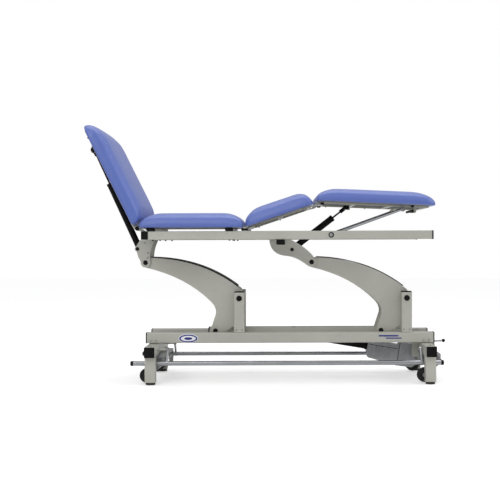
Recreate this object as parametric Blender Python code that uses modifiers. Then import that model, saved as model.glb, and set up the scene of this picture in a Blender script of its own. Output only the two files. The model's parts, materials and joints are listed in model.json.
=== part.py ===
"""Electric height-adjustable medical exam table with a four-section top.

Metres, +Z up.  The head end is at -X, the foot end at +X, and "right" is the -Y side.
Lengths along X are measured from the middle of the base; table_origin then moves the
whole table so that the middle of its bounding box stands over the world origin.
Positive turns about +Y lift what lies on the -X side of a pivot.
"""
import math

import bmesh
import bpy
from mathutils import Matrix, Vector

ORIGIN_SHIFT = 0.10558

# Base
CROSSBAR_X = 0.6565
CROSSBAR_HALF_LENGTH = 0.306
CROSSBAR_Z = (0.130, 0.180)
BEAM = 0.050
WALL = 0.003
RAIL_X = (-0.6915, 0.6935)
RAIL_Y = 0.110
RAIL_Z = (0.1823, 0.2323)
LEG_Y = 0.258
LEG_BOTTOM = 0.0123
POST_TOP = 0.425
FOOT_RADIUS = 0.023

# Lift: two parallel bell-crank arms, each with a post pivot, a top pivot and a tie pivot
POST_X = (-0.244, 0.564)
LIFT_PIVOT_Z = 0.397
ARM_TO_TOP = (-0.4566, 0.1727)
ARM_TO_TIE = (-0.1185, -0.1605)
ARM_PLATE_Y = (0.064, 0.072)
BRACKET_PLATE_Y = (0.076, 0.084)
LIFT_PIN_RADIUS = 0.011
TOP_PIN_RADIUS = 0.009
TIE_PIN_RADIUS = 0.008
TIE_BAR_Y = (0.028, 0.038)
TIE_BAR_HEIGHT = 0.026

# Linear actuator
ACTUATOR_PIVOT = (0.6145, 0.120)
ACTUATOR_EYE = (0.020, 0.2206)
ACTUATOR_TUBE_RADIUS = 0.022
ACTUATOR_TUBE_LENGTH = 0.440
ACTUATOR_ROD_RADIUS = 0.010

# Retractable castors
CASTOR_PIVOT_DX = 0.053
CASTOR_PIVOT_Z = 0.100
CASTOR_ARM = (-0.075, -0.062)
CASTOR_SHAFT_RADIUS = 0.010
WHEEL_RADIUS = 0.035
WHEEL_Y = 0.212
LINK_CRANK = 0.052
LINK_Y = 0.1795
PEDAL_PIVOT = (0.702, 0.176)
PEDAL_CRANK = 0.056
PEDAL_TIP = (0.0555, 0.0025)

# Foot control bars
FOOT_BAR_PIVOT = (0.165, 0.155)
FOOT_BAR_AXIS = (0.215, 0.095)
FOOT_BAR_X = (-0.7545, 0.7255)
FOOT_BAR_RADIUS = 0.011
FOOT_LEVER_X = {"head": (-0.587, -0.579), "foot": (0.618, 0.626)}
FOOT_PIN_RADIUS = 0.006

# Top frame
TOP_RAIL_X = (-0.6652, 0.6685)
TOP_RAIL_Y = (0.255, 0.285)
TOP_RAIL_Z = (0.680, 0.720)
HEAD_TUBE_X = (-0.6935, -0.6655)
MID_TUBE_X = (-0.0645, -0.0235)
MID_TUBE_Z = (0.655, 0.6797)
SEAT_TUBE_X = ((-0.6705, -0.6295), (-0.3035, -0.2655))
SEAT_TUBE_Z = (0.7203, 0.736)
CLEARANCE = 0.0006

# Four-section top
PAD_HALF_WIDTH = 0.310
BACK_HINGE = (-0.7175, 0.733)
BACK_ANGLE = 63.6
THIGH_HINGE = (-0.2115, 0.732)
THIGH_ANGLE = 18.5
LEG_HINGE_OFFSET = (0.342, 0.118)
LEG_TILT = 2.6
SEAT_X = (-0.7085, -0.214)
SEAT_Z = (0.7363, 0.803)
HINGE_PIN_RADIUS = 0.006
FRAME_BAR = 0.022

# Gas springs and struts of the top
BACK_SPRING_FOOT = (-0.7395, 0.637)
BACK_SPRING_HEAD = (-0.4620, -0.0455)
BACK_RELEASE_HUB = (-0.492, -0.0255)
LEG_SPRING_FOOT = (0.0125, 0.631)
LEG_SPRING_HEAD = (0.1497, -0.0055)
SPRING_RADIUS = 0.0155
SPRING_ROD_RADIUS = 0.0045
STRUT_FOOT = (0.1925, 0.7007)
STRUT_HEAD = (0.4048, -0.0089)
STRUT_Y = 0.222
STRUT_RADIUS = 0.007

SIDES = {"right": -1, "left": 1}


# ---------------------------------------------------------------- scene and materials

def clear_scene():
    """Remove what the new file starts with."""
    for item in list(bpy.data.objects):
        bpy.data.objects.remove(item, do_unlink=True)


def make_material(name, colour, roughness, metallic=0.0):
    """A Principled material of one colour."""
    material = bpy.data.materials.new(name)
    material.use_nodes = True
    shader = material.node_tree.nodes["Principled BSDF"]
    shader.inputs["Base Color"].default_value = (*colour, 1.0)
    shader.inputs["Roughness"].default_value = roughness
    shader.inputs["Metallic"].default_value = metallic
    return material


clear_scene()
PARTS = bpy.data.collections.new("medical_exam_table")
bpy.context.scene.collection.children.link(PARTS)

PAINT = make_material("grey_paint", (0.47, 0.47, 0.43), 0.45)
VINYL = make_material("blue_vinyl", (0.13, 0.21, 0.60), 0.5)
PLASTIC = make_material("black_plastic", (0.02, 0.02, 0.02), 0.5)
RUBBER = make_material("black_rubber", (0.03, 0.03, 0.03), 0.8)
CHROME = make_material("chrome", (0.75, 0.76, 0.78), 0.15, 1.0)
ZINC = make_material("zinc_steel", (0.55, 0.56, 0.58), 0.35, 1.0)
HOUSING = make_material("grey_plastic", (0.33, 0.34, 0.36), 0.5)


# ---------------------------------------------------------------- placing

def pivot(name, x, z, y=0.0, tilt=0.0, parent=None):
    """An empty on a joint's axis; tilt turns it about +Y, in degrees."""
    empty = bpy.data.objects.new(name, None)
    PARTS.objects.link(empty)
    empty.empty_display_size = 0.05
    empty.location = (x, y, z)
    empty.rotation_euler = (0.0, math.radians(tilt), 0.0)
    empty.parent = parent
    return empty


def place(part, parent, material):
    """Hang a finished part on its pivot and give it its material."""
    part.parent = parent
    part.data.materials.clear()
    part.data.materials.append(material)
    part.data.shade_smooth()
    part.data.set_sharp_from_angle(angle=math.radians(35))
    return part


def local(point, origin, tilt=0.0):
    """A point (x, z) of the base seen from a pivot that is tilted about +Y."""
    angle = math.radians(tilt)
    dx = point[0] - origin[0]
    dz = point[1] - origin[1]
    along = dx * math.cos(angle) - dz * math.sin(angle)
    above = dx * math.sin(angle) + dz * math.cos(angle)
    return along, above


# ---------------------------------------------------------------- outlines

def arc(centre, radius, start, end, steps=8):
    """Points on an arc, in degrees, both ends included."""
    points = []
    for index in range(steps + 1):
        angle = math.radians(start + (end - start) * index / steps)
        points.append((centre[0] + radius * math.cos(angle), centre[1] + radius * math.sin(angle)))
    return points


def circle(centre, radius, steps=20):
    """A closed round loop."""
    return arc(centre, radius, 0, 360 - 360 / steps, steps - 1)


def rectangle(low, high, corner=0.0, steps=2):
    """A closed rectangular loop with rounded corners."""
    if corner == 0.0:
        return [low, (high[0], low[1]), high, (low[0], high[1])]
    centres = (
        ((high[0] - corner, high[1] - corner), 0),
        ((low[0] + corner, high[1] - corner), 90),
        ((low[0] + corner, low[1] + corner), 180),
        ((high[0] - corner, low[1] + corner), 270),
    )
    points = []
    for centre, start in centres:
        points += arc(centre, corner, start, start + 90, steps)
    return points


def bend(start, control, end, steps=8):
    """Points on a parabolic bend, both ends included."""
    points = []
    for index in range(steps + 1):
        t = index / steps
        weights = ((1 - t) ** 2, 2 * t * (1 - t), t * t)
        points.append(tuple(sum(w * p[k] for w, p in zip(weights, (start, control, end)))
                            for k in (0, 1)))
    return points


def capsule(start, end, start_radius, end_radius, steps=8):
    """A closed link outline: two round ends and their outer tangents."""
    heading = math.degrees(math.atan2(end[1] - start[1], end[0] - start[0]))
    length = math.dist(start, end)
    lean = math.degrees(math.acos((start_radius - end_radius) / length))
    far = arc(end, end_radius, heading - lean, heading + lean, steps)
    near = arc(start, start_radius, heading + lean, heading + 360 - lean, steps)
    return far + near


# ---------------------------------------------------------------- solids

def from_bmesh(name, shape):
    """Turn a bmesh into an object of the parts collection."""
    bmesh.ops.recalc_face_normals(shape, faces=shape.faces)
    mesh = bpy.data.meshes.new(name)
    shape.to_mesh(mesh)
    shape.free()
    part = bpy.data.objects.new(name, mesh)
    PARTS.objects.link(part)
    return part


def box(name, low, high):
    """A box between two corners."""
    shape = bmesh.new()
    bmesh.ops.create_cube(shape, size=1.0)
    size = Vector(high) - Vector(low)
    middle = (Vector(high) + Vector(low)) / 2
    bmesh.ops.scale(shape, vec=size, verts=shape.verts)
    bmesh.ops.translate(shape, vec=middle, verts=shape.verts)
    return from_bmesh(name, shape)


AXIS_TURN = {
    "X": Matrix.Rotation(math.radians(90), 4, "Y"),
    "Y": Matrix.Rotation(math.radians(-90), 4, "X"),
    "Z": Matrix.Identity(4),
}


def rod(name, centre, radius, low, high, axis="Y", segments=20, end_radius=None):
    """A round bar along an axis; centre gives its other two coordinates in X, Y, Z order."""
    shape = bmesh.new()
    second = radius if end_radius is None else end_radius
    bmesh.ops.create_cone(shape, cap_ends=True, segments=segments, radius1=radius,
                          radius2=second, depth=high - low)
    middle = (low + high) / 2
    spots = {
        "X": (middle, centre[0], centre[1]),
        "Y": (centre[0], middle, centre[1]),
        "Z": (centre[0], centre[1], middle),
    }
    matrix = Matrix.Translation(spots[axis]) @ AXIS_TURN[axis]
    bmesh.ops.transform(shape, matrix=matrix, verts=shape.verts)
    return from_bmesh(name, shape)


def plate(name, loops, low, high, axis="Y"):
    """A flat outline with holes, given thickness from low to high along an axis."""
    curve = bpy.data.curves.new(name, "CURVE")
    curve.dimensions = "2D"
    curve.fill_mode = "BOTH"
    curve.extrude = (high - low) / 2
    for loop in loops:
        spline = curve.splines.new("POLY")
        spline.points.add(len(loop) - 1)
        for point, (u, v) in zip(spline.points, loop):
            point.co = (u, v, 0.0, 1.0)
        spline.use_cyclic_u = True
    outline = bpy.data.objects.new(name, curve)
    PARTS.objects.link(outline)
    graph = bpy.context.evaluated_depsgraph_get()
    flat = bpy.data.meshes.new_from_object(outline.evaluated_get(graph))
    bpy.data.objects.remove(outline)
    bpy.data.curves.remove(curve)
    middle = (low + high) / 2
    frames = {
        "X": Matrix(((0, 0, 1, middle), (1, 0, 0, 0), (0, 1, 0, 0), (0, 0, 0, 1))),
        "Y": Matrix(((1, 0, 0, 0), (0, 0, -1, middle), (0, 1, 0, 0), (0, 0, 0, 1))),
        "Z": Matrix.Translation((0, 0, middle)),
    }
    shape = bmesh.new()
    shape.from_mesh(flat)
    bpy.data.meshes.remove(flat)
    bmesh.ops.remove_doubles(shape, verts=shape.verts, dist=0.00001)
    bmesh.ops.transform(shape, matrix=frames[axis], verts=shape.verts)
    return from_bmesh(name, shape)


def turned(name, profile, centre, axis="Y", segments=24):
    """A turned solid: profile holds (radius, height) from the top down its outer side."""
    mesh = bpy.data.meshes.new(name)
    edges = [(index, index + 1) for index in range(len(profile) - 1)]
    mesh.from_pydata([(radius, 0.0, height) for radius, height in profile], edges, [])
    blank = bpy.data.objects.new(name, mesh)
    PARTS.objects.link(blank)
    screw = blank.modifiers.new("Turn", "SCREW")
    screw.steps = segments
    screw.render_steps = segments
    screw.use_merge_vertices = True
    screw.merge_threshold = 0.00005
    graph = bpy.context.evaluated_depsgraph_get()
    solid = bpy.data.meshes.new_from_object(blank.evaluated_get(graph))
    bpy.data.objects.remove(blank)
    bpy.data.meshes.remove(mesh)
    shape = bmesh.new()
    shape.from_mesh(solid)
    bpy.data.meshes.remove(solid)
    bmesh.ops.remove_doubles(shape, verts=shape.verts, dist=0.00001)
    matrix = Matrix.Translation(centre) @ AXIS_TURN[axis]
    bmesh.ops.transform(shape, matrix=matrix, verts=shape.verts)
    return from_bmesh(name, shape)


def combine(part, helpers, operation):
    """Join or cut a part with helper solids and remove the helpers."""
    for helper in helpers:
        change = part.modifiers.new(helper.name, "BOOLEAN")
        change.operation = operation
        change.solver = "EXACT"
        change.object = helper
    graph = bpy.context.evaluated_depsgraph_get()
    solid = bpy.data.meshes.new_from_object(part.evaluated_get(graph))
    part.modifiers.clear()
    old = part.data
    part.data = solid
    bpy.data.meshes.remove(old)
    for helper in helpers:
        bpy.data.objects.remove(helper, do_unlink=True)
    shape = bmesh.new()
    shape.from_mesh(solid)
    bmesh.ops.remove_doubles(shape, verts=shape.verts, dist=0.000005)
    bmesh.ops.dissolve_limit(shape, angle_limit=math.radians(0.1), verts=shape.verts,
                             edges=shape.edges)
    bmesh.ops.triangulate(shape, faces=[face for face in shape.faces if len(face.verts) > 4])
    shape.to_mesh(solid)
    shape.free()
    return part


def join(part, *helpers):
    """Weld helper solids to a part."""
    return combine(part, helpers, "UNION")


def cut(part, *helpers):
    """Remove helper solids from a part."""
    return combine(part, helpers, "DIFFERENCE")


def square_tube(name, low, high, start, end, axis, wall=WALL):
    """An open-ended rectangular tube; low and high are its corners across the axis."""
    inner_low = (low[0] + wall, low[1] + wall)
    inner_high = (high[0] - wall, high[1] - wall)
    loops = [rectangle(low, high, 0.004), rectangle(inner_low, inner_high)]
    return plate(name, loops, start, end, axis)


def hole(centre, radius, low=-0.4, high=0.4, axis="Y"):
    """A cutter for a round hole."""
    return rod("hole", centre, radius, low, high, axis)


# ---------------------------------------------------------------- base

def make_end_frame(end, centre_x, inward, origin):
    """A crossbar with two legs, and the two pins that the foot bars hang on."""
    half = BEAM / 2
    low = (centre_x - half, CROSSBAR_Z[0])
    high = (centre_x + half, CROSSBAR_Z[1])
    frame = square_tube(f"base_crossbar_{end}", low, high, -CROSSBAR_HALF_LENGTH,
                        CROSSBAR_HALF_LENGTH, "Y")
    extras = []
    for side in SIDES.values():
        leg_low = (centre_x - half, side * LEG_Y - half)
        leg_high = (centre_x + half, side * LEG_Y + half)
        leg = square_tube("leg", leg_low, leg_high, LEG_BOTTOM, CROSSBAR_Z[0] + WALL / 2, "Z")
        face = centre_x + inward * (half - WALL / 2)
        lever = FOOT_LEVER_X[end]
        tip = (lever[1] if inward > 0 else lever[0]) + inward * 0.003
        spot = (side * FOOT_BAR_PIVOT[0], FOOT_BAR_PIVOT[1])
        pin = rod("pin", spot, FOOT_PIN_RADIUS, min(face, tip), max(face, tip), "X", 16)
        extras += [leg, pin]
    join(frame, *extras)
    place(frame, origin, PAINT)


def make_foot(name, x, y, origin):
    """A levelling foot: rubber disc with a stem up into the leg."""
    profile = [(0.0, 0.040), (0.008, 0.040), (0.008, 0.012), (FOOT_RADIUS, 0.012),
               (FOOT_RADIUS, 0.003), (0.020, 0.0), (0.0, 0.0)]
    foot = turned(name, profile, (x, y, 0.0), "Z", 20)
    place(foot, origin, RUBBER)


def make_base(origin):
    """Rails, posts and their lift pins on two leg frames."""
    half = BEAM / 2
    for end, centre_x, inward in (("head", -CROSSBAR_X, 1), ("foot", CROSSBAR_X, -1)):
        make_end_frame(end, centre_x, inward, origin)
    for side_name, side in SIDES.items():
        low = (side * RAIL_Y - half, RAIL_Z[0])
        high = (side * RAIL_Y + half, RAIL_Z[1])
        rail = square_tube(f"base_rail_{side_name}", low, high, *RAIL_X, "X")
        place(rail, origin, PAINT)
        for end, x in (("head", -CROSSBAR_X), ("foot", CROSSBAR_X)):
            make_foot(f"levelling_foot_{end}_{side_name}", x, side * LEG_Y, origin)
        for end, x in zip(("head", "foot"), POST_X):
            low = (x - half, side * RAIL_Y - half)
            high = (x + half, side * RAIL_Y + half)
            post = square_tube(f"lift_post_{end}_{side_name}", low, high,
                               RAIL_Z[1] + 0.0003, POST_TOP, "Z")
            cut(post, hole((x, LIFT_PIVOT_Z), LIFT_PIN_RADIUS + CLEARANCE))
            place(post, origin, PAINT)
    for end, x in zip(("head", "foot"), POST_X):
        reach = RAIL_Y + half + 0.004
        inner = RAIL_Y + half + 0.0003
        spot = (x, LIFT_PIVOT_Z)
        pin = rod(f"lift_pin_{end}", spot, LIFT_PIN_RADIUS, -reach, reach)
        heads = [rod("pin_head", spot, 0.0135, *sorted((side * inner, side * reach)))
                 for side in (-1, 1)]
        join(pin, *heads)
        place(pin, origin, PLASTIC)


def make_actuator_bracket(origin):
    """Two ears and a pin on the foot crossbar's inner face."""
    back = CROSSBAR_X - BEAM / 2 - 0.0003
    front = ACTUATOR_PIVOT[0] - 0.0165
    outline = [(back, -0.050), (back, 0.050), (front, 0.050), (front, 0.0443),
               (back - 0.004, 0.0443), (back - 0.004, -0.0443), (front, -0.0443), (front, -0.050)]
    bracket = plate("actuator_bracket", [outline], 0.104, 0.178, "Z")
    join(bracket, rod("pin", ACTUATOR_PIVOT, 0.007, -0.049, 0.049))
    place(bracket, origin, PAINT)


def make_castor_bracket(end, centre_x, origin):
    """A channel under the crossbar whose flanges carry the castor shaft."""
    top = CROSSBAR_Z[0] - 0.0003
    strip = top - 0.008
    outline = [(-0.158, 0.084), (-0.150, 0.084), (-0.150, strip), (0.150, strip),
               (0.150, 0.084), (0.158, 0.084), (0.158, top), (-0.158, top)]
    start = centre_x - 0.0245
    stop = centre_x + CASTOR_PIVOT_DX + 0.013
    bracket = plate(f"castor_bracket_{end}", [outline], start, stop, "X")
    if end == "foot":
        ears = [box("ear", (0.6825, min(side * 0.016, side * 0.021), strip + 0.001),
                    (0.714, max(side * 0.016, side * 0.021), 0.187)) for side in (-1, 1)]
        join(bracket, *ears)
        join(bracket, rod("pin", PEDAL_PIVOT, 0.005, -0.020, 0.020, "Y", 16))
        cut(bracket, box("slot", (0.690, -0.015, 0.10), (0.74, 0.015, 0.135)))
    shaft_at = (centre_x + CASTOR_PIVOT_DX, CASTOR_PIVOT_Z)
    cut(bracket, hole(shaft_at, CASTOR_SHAFT_RADIUS + CLEARANCE))
    place(bracket, origin, ZINC)


# ---------------------------------------------------------------- castors and foot bars

def make_castor_axle(end, parent):
    """A cross shaft with a swing arm and stub axle at each end and a crank for the link."""
    shaft = rod(f"castor_axle_{end}", (0, 0), CASTOR_SHAFT_RADIUS, -0.196, 0.196)
    arms = []
    for side in SIDES.values():
        span = sorted((side * 0.188, side * 0.196))
        arms.append(plate("arm", [capsule((0, 0), CASTOR_ARM, 0.013, 0.011)], *span))
        arms.append(rod("stub", CASTOR_ARM, 0.006, *sorted((side * 0.192, side * 0.228)), "Y", 16))
        arms.append(rod("washer", CASTOR_ARM, 0.010, *sorted((side * 0.2258, side * 0.228))))
    crank_end = (0, -LINK_CRANK)
    arms.append(plate("crank", [capsule((0, 0), crank_end, 0.013, 0.009)], 0.166, 0.174))
    arms.append(rod("crank_pin", crank_end, 0.005, 0.170, LINK_Y + 0.005, "Y", 16))
    if end == "foot":
        raised = (0, PEDAL_CRANK)
        arms.append(plate("pedal_crank", [capsule((0, 0), raised, 0.013, 0.007)], -0.004, 0.004))
        arms.append(rod("pedal_pin", raised, 0.004, 0.0, 0.014, "Y", 12))
    join(shaft, *arms)
    place(shaft, parent, ZINC)


def make_wheel(name, side, parent):
    """A castor wheel with a rounded tread and a dished hub."""
    half = 0.013
    bore = 0.006 + CLEARANCE
    profile = [(bore, half), (0.012, half), (0.016, 0.007), (0.025, 0.007), (0.028, 0.011),
               (0.033, 0.010), (WHEEL_RADIUS, 0.005), (WHEEL_RADIUS, -0.005), (0.033, -0.010),
               (0.028, -0.011), (0.025, -0.007), (0.016, -0.007), (0.012, -half), (bore, -half),
               (bore, half)]
    wheel = turned(name, profile, (0, side * WHEEL_Y, 0), "Y", 20)
    place(wheel, parent, RUBBER)


def make_castors(origin):
    """Both castor axles with their wheels, and the link that couples them."""
    for end, centre_x in (("head", -CROSSBAR_X), ("foot", CROSSBAR_X)):
        make_castor_bracket(end, centre_x, origin)
        swing = pivot(f"castor_pivot_{end}", centre_x + CASTOR_PIVOT_DX, CASTOR_PIVOT_Z,
                      parent=origin)
        make_castor_axle(end, swing)
        for side_name, side in SIDES.items():
            hub = pivot(f"wheel_pivot_{end}_{side_name}", *CASTOR_ARM, parent=swing)
            make_wheel(f"castor_wheel_{end}_{side_name}", side, hub)
        if end == "foot":
            make_castor_link(swing)


def make_castor_link(swing):
    """The flat bar that makes both castor axles swing together."""
    start = pivot("castor_link_pivot", 0, -LINK_CRANK, parent=swing)
    far = (-2 * CROSSBAR_X, 0)
    bore = 0.005 + CLEARANCE
    loops = [capsule((0, 0), far, 0.0095, 0.00949), circle((0, 0), bore), circle(far, bore)]
    link = plate("castor_link_bar", loops, LINK_Y - 0.004, LINK_Y + 0.004)
    place(link, start, ZINC)


def make_pedal(origin):
    """The castor pedal: hub, slotted arm that drives the shaft, lever and ball."""
    hub = pivot("castor_pedal_pivot", *PEDAL_PIVOT, parent=origin)
    pin = local((CROSSBAR_X + CASTOR_PIVOT_DX, CASTOR_PIVOT_Z + PEDAL_CRANK), PEDAL_PIVOT)
    reach = math.hypot(*pin)
    far = (pin[0] * 1.12, pin[1] * 1.12)
    slot_start = (pin[0] * (1 - 0.002 / reach), pin[1] * (1 - 0.002 / reach))
    slot_end = (pin[0] * (1 + 0.002 / reach), pin[1] * (1 + 0.002 / reach))
    slot = capsule(slot_start, slot_end, 0.0050, 0.00499, 6)
    pedal = rod("castor_pedal", (0, 0), 0.011, -0.013, 0.0125)
    arm = plate("slotted_arm", [capsule((0, 0), far, 0.011, 0.0095), slot], 0.0055, 0.0125)
    lever = rod("lever", (0, 0), 0.005, 0.0, math.hypot(*PEDAL_TIP), "X", 16)
    lever.data.transform(Matrix.Rotation(-math.atan2(PEDAL_TIP[1], PEDAL_TIP[0]), 4, "Y"))
    join(pedal, arm, lever)
    cut(pedal, hole((0, 0), 0.005 + CLEARANCE))
    place(pedal, hub, CHROME)
    knob_at = Vector((PEDAL_TIP[0], 0, PEDAL_TIP[1]))
    ball = bmesh.new()
    bmesh.ops.create_uvsphere(ball, u_segments=14, v_segments=8, radius=0.0088)
    bmesh.ops.translate(ball, vec=knob_at * 1.06, verts=ball.verts)
    knob = from_bmesh("castor_pedal_knob", ball)
    socket = rod("socket", (0, 0), 0.0053, 0.0, knob_at.length + 0.0004, "X", 16)
    socket.data.transform(Matrix.Rotation(-math.atan2(PEDAL_TIP[1], PEDAL_TIP[0]), 4, "Y"))
    cut(knob, socket)
    place(knob, hub, PLASTIC)


def make_foot_bars(origin):
    """The long bars that are pressed or lifted with the foot to move the table."""
    for side_name, side in SIDES.items():
        hinge = pivot(f"foot_bar_pivot_{side_name}", 0, FOOT_BAR_PIVOT[1],
                      y=side * FOOT_BAR_PIVOT[0], parent=origin)
        axis = (side * (FOOT_BAR_AXIS[0] - FOOT_BAR_PIVOT[0]),
                FOOT_BAR_AXIS[1] - FOOT_BAR_PIVOT[1])
        tube = plate(f"foot_bar_{side_name}",
                     [circle(axis, FOOT_BAR_RADIUS, 16), circle(axis, FOOT_BAR_RADIUS - 0.0025, 12)],
                     *FOOT_BAR_X, "X")
        levers = []
        for span in FOOT_LEVER_X.values():
            loops = [capsule((0, 0), axis, 0.0105, 0.013),
                     circle((0, 0), FOOT_PIN_RADIUS + CLEARANCE, 16), circle(axis, 0.0098, 16)]
            levers.append(plate("lever", loops, *span, "X"))
        join(tube, *levers)
        place(tube, hinge, CHROME)


# ---------------------------------------------------------------- lift

def arm_outline():
    """The bell-crank's side, seen from its post pivot."""
    top_boss = arc(ARM_TO_TOP, 0.024, 79, 262, 10)
    belly = bend((-0.461, 0.149), (-0.262, 0.104), (-0.139, -0.019), 8)
    elbow = bend((-0.139, -0.019), (-0.103, -0.056), (-0.1211, -0.0935), 6)
    tie_boss = arc(ARM_TO_TIE, 0.024, 151, 285, 8)
    heel = bend((-0.112, -0.184), (0.020, -0.137), (0.024, -0.020), 8)
    shoulder = bend((0.024, -0.020), (0.025, 0.022), (0.004, 0.043), 4)
    back = bend((0.004, 0.043), (-0.185, 0.196), (-0.452, 0.1962), 10)
    return top_boss + belly[1:] + elbow[1:] + tie_boss + heel[1:] + shoulder[1:] + back[1:-1]


def make_lift_arm(end, parent):
    """Two side plates joined by a cross box and by the tie pivot's spindle."""
    loops = [arm_outline(), circle((0, 0), LIFT_PIN_RADIUS + CLEARANCE),
             circle(ARM_TO_TOP, TOP_PIN_RADIUS + CLEARANCE)]
    arm = plate(f"lift_arm_{end}", loops, -ARM_PLATE_Y[1], -ARM_PLATE_Y[0])
    other = plate("other_side", loops, ARM_PLATE_Y[0], ARM_PLATE_Y[1])
    inner = ARM_PLATE_Y[0] + 0.004
    spindle = rod("spindle", ARM_TO_TIE, TIE_PIN_RADIUS, -inner, inner)
    spreader = box("spreader", (-0.300, -inner, 0.108), (-0.240, inner, 0.138))
    join(arm, other, spindle, spreader)
    place(arm, parent, PAINT)


def make_tie_bar(parent):
    """Twin bars between the arms' lower ends, with the actuator's pin between them."""
    length = POST_X[1] - POST_X[0]
    half = TIE_BAR_HEIGHT / 2
    bore = TIE_PIN_RADIUS + CLEARANCE
    loops = [rectangle((-0.031, -half), (length + 0.031, half), 0.005),
             circle((0, 0), bore), circle((length, 0), bore)]
    bar = plate("tie_bar", loops, -TIE_BAR_Y[1], -TIE_BAR_Y[0])
    other = plate("other_bar", loops, TIE_BAR_Y[0], TIE_BAR_Y[1])
    first = (POST_X[0] + ARM_TO_TIE[0], LIFT_PIVOT_Z + ARM_TO_TIE[1])
    eye = local(ACTUATOR_EYE, first)
    inner = TIE_BAR_Y[0] + 0.005
    pin = rod("actuator_pin", eye, 0.007, -inner, inner, "Y", 16)
    lugs = [plate("lug", [capsule(eye, (eye[0], 0), 0.014, 0.01399)],
                  *sorted((side * TIE_BAR_Y[0], side * TIE_BAR_Y[1]))) for side in (-1, 1)]
    spacer = rod("spacer", (0.120, 0), 0.008, -inner, inner, "Y", 16)
    join(bar, other, pin, spacer, *lugs)
    place(bar, parent, PAINT)


def make_actuator(origin):
    """Motor and gear housing with its tube on the base, and the rod that slides in it."""
    line = local(ACTUATOR_EYE, ACTUATOR_PIVOT)
    lift = math.degrees(math.atan2(line[1], -line[0]))
    reach = math.hypot(*line)
    rear = pivot("actuator_pivot", *ACTUATOR_PIVOT, tilt=lift, parent=origin)
    shell = [(0.007, 0.011), (0.000, 0.028), (-0.010, 0.043), (-0.072, 0.045), (-0.084, 0.027),
             (-0.232, 0.026), (-0.236, -0.020), (-0.226, -0.058), (-0.080, -0.074),
             (-0.004, -0.072), (0.008, -0.052)]
    housing = plate("actuator_motor_housing", [shell], -0.040, 0.040)
    soften = housing.modifiers.new("Soft edges", "BEVEL")
    soften.width = 0.004
    soften.segments = 2
    soften.angle_limit = math.radians(40)
    cut(housing, rod("bore", (0, 0), 0.0135, -0.240, -0.100, "X", 20), hole((0, 0), 0.0078))
    place(housing, rear, HOUSING)
    start = -0.2365
    sleeve = plate("actuator_outer_tube",
                   [circle((0, 0), ACTUATOR_TUBE_RADIUS, 24), circle((0, 0), 0.0135, 20)],
                   -ACTUATOR_TUBE_LENGTH, start, "X")
    place(sleeve, rear, PLASTIC)
    piston = rod("actuator_rod", (0, 0), ACTUATOR_ROD_RADIUS, -reach + 0.030, -0.250, "X", 20)
    eye = (-reach, 0)
    head = plate("rod_eye", [rectangle((eye[0] - 0.016, -0.030), (eye[0] + 0.036, 0.030), 0.010, 3),
                             rectangle((eye[0] - 0.0145 + 0.0045, -0.0225),
                                       (eye[0] + 0.0165, 0.0225), 0.006)], -0.010, 0.010)
    join(piston, head)
    place(piston, rear, CHROME)


def bracket_head_outline():
    """The blade from the head cross tube down to the head arm, in base coordinates."""
    ear = arc(BACK_SPRING_FOOT, 0.0135, 120, 250, 6)
    boss = arc((POST_X[0] + ARM_TO_TOP[0], LIFT_PIVOT_Z + ARM_TO_TOP[1]), 0.024, 170, 372, 12)
    waist = bend((-0.6777, 0.575), (-0.684, 0.625), (-0.657, 0.6797), 6)
    return ear + [(-0.737, 0.600)] + boss + waist[1:] + [(-0.728, 0.6797)]


def bracket_foot_outline():
    """The blade from under the top frame down to the foot arm, in base coordinates."""
    top_pin = (POST_X[1] + ARM_TO_TOP[0], LIFT_PIVOT_Z + ARM_TO_TOP[1])
    left = bend((-0.098, 0.6797), (-0.094, 0.605), (-0.010, 0.600), 8)
    lower = bend((-0.010, 0.600), (0.035, 0.595), (0.091, 0.5513), 6)
    boss = arc(top_pin, 0.024, 230, 402, 10)
    upper = bend((0.116, 0.598), (0.083, 0.642), (0.006, 0.6797), 8)
    notch = [(MID_TUBE_X[1] + 0.0003, 0.6797), (MID_TUBE_X[1] + 0.0003, MID_TUBE_Z[0] - 0.0003),
             (MID_TUBE_X[0] - 0.0003, MID_TUBE_Z[0] - 0.0003), (MID_TUBE_X[0] - 0.0003, 0.6797)]
    return left + lower[1:] + boss + upper[1:] + notch


def make_arm_bracket(name, outline, top_pin, spring_pin, spring_pin_radius, parent):
    """Two blades with the arm's pin and the gas spring's pin between them."""
    low, high = BRACKET_PLATE_Y
    loop = [local(point, top_pin) for point in outline]
    bracket = plate(name, [loop], -high, -low)
    other = plate("other_blade", [loop], low, high)
    pin = rod("arm_pin", (0, 0), TOP_PIN_RADIUS, -high - 0.003, high + 0.003)
    heads = [rod("pin_head", (0, 0), 0.012, *sorted((side * (high - 0.001), side * (high + 0.003))))
             for side in (-1, 1)]
    spring = rod("spring_pin", local(spring_pin, top_pin), spring_pin_radius,
                 -high - 0.002, high + 0.002, "Y", 16)
    join(bracket, other, pin, spring, *heads)
    place(bracket, parent, PAINT)


# ---------------------------------------------------------------- top frame

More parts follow.
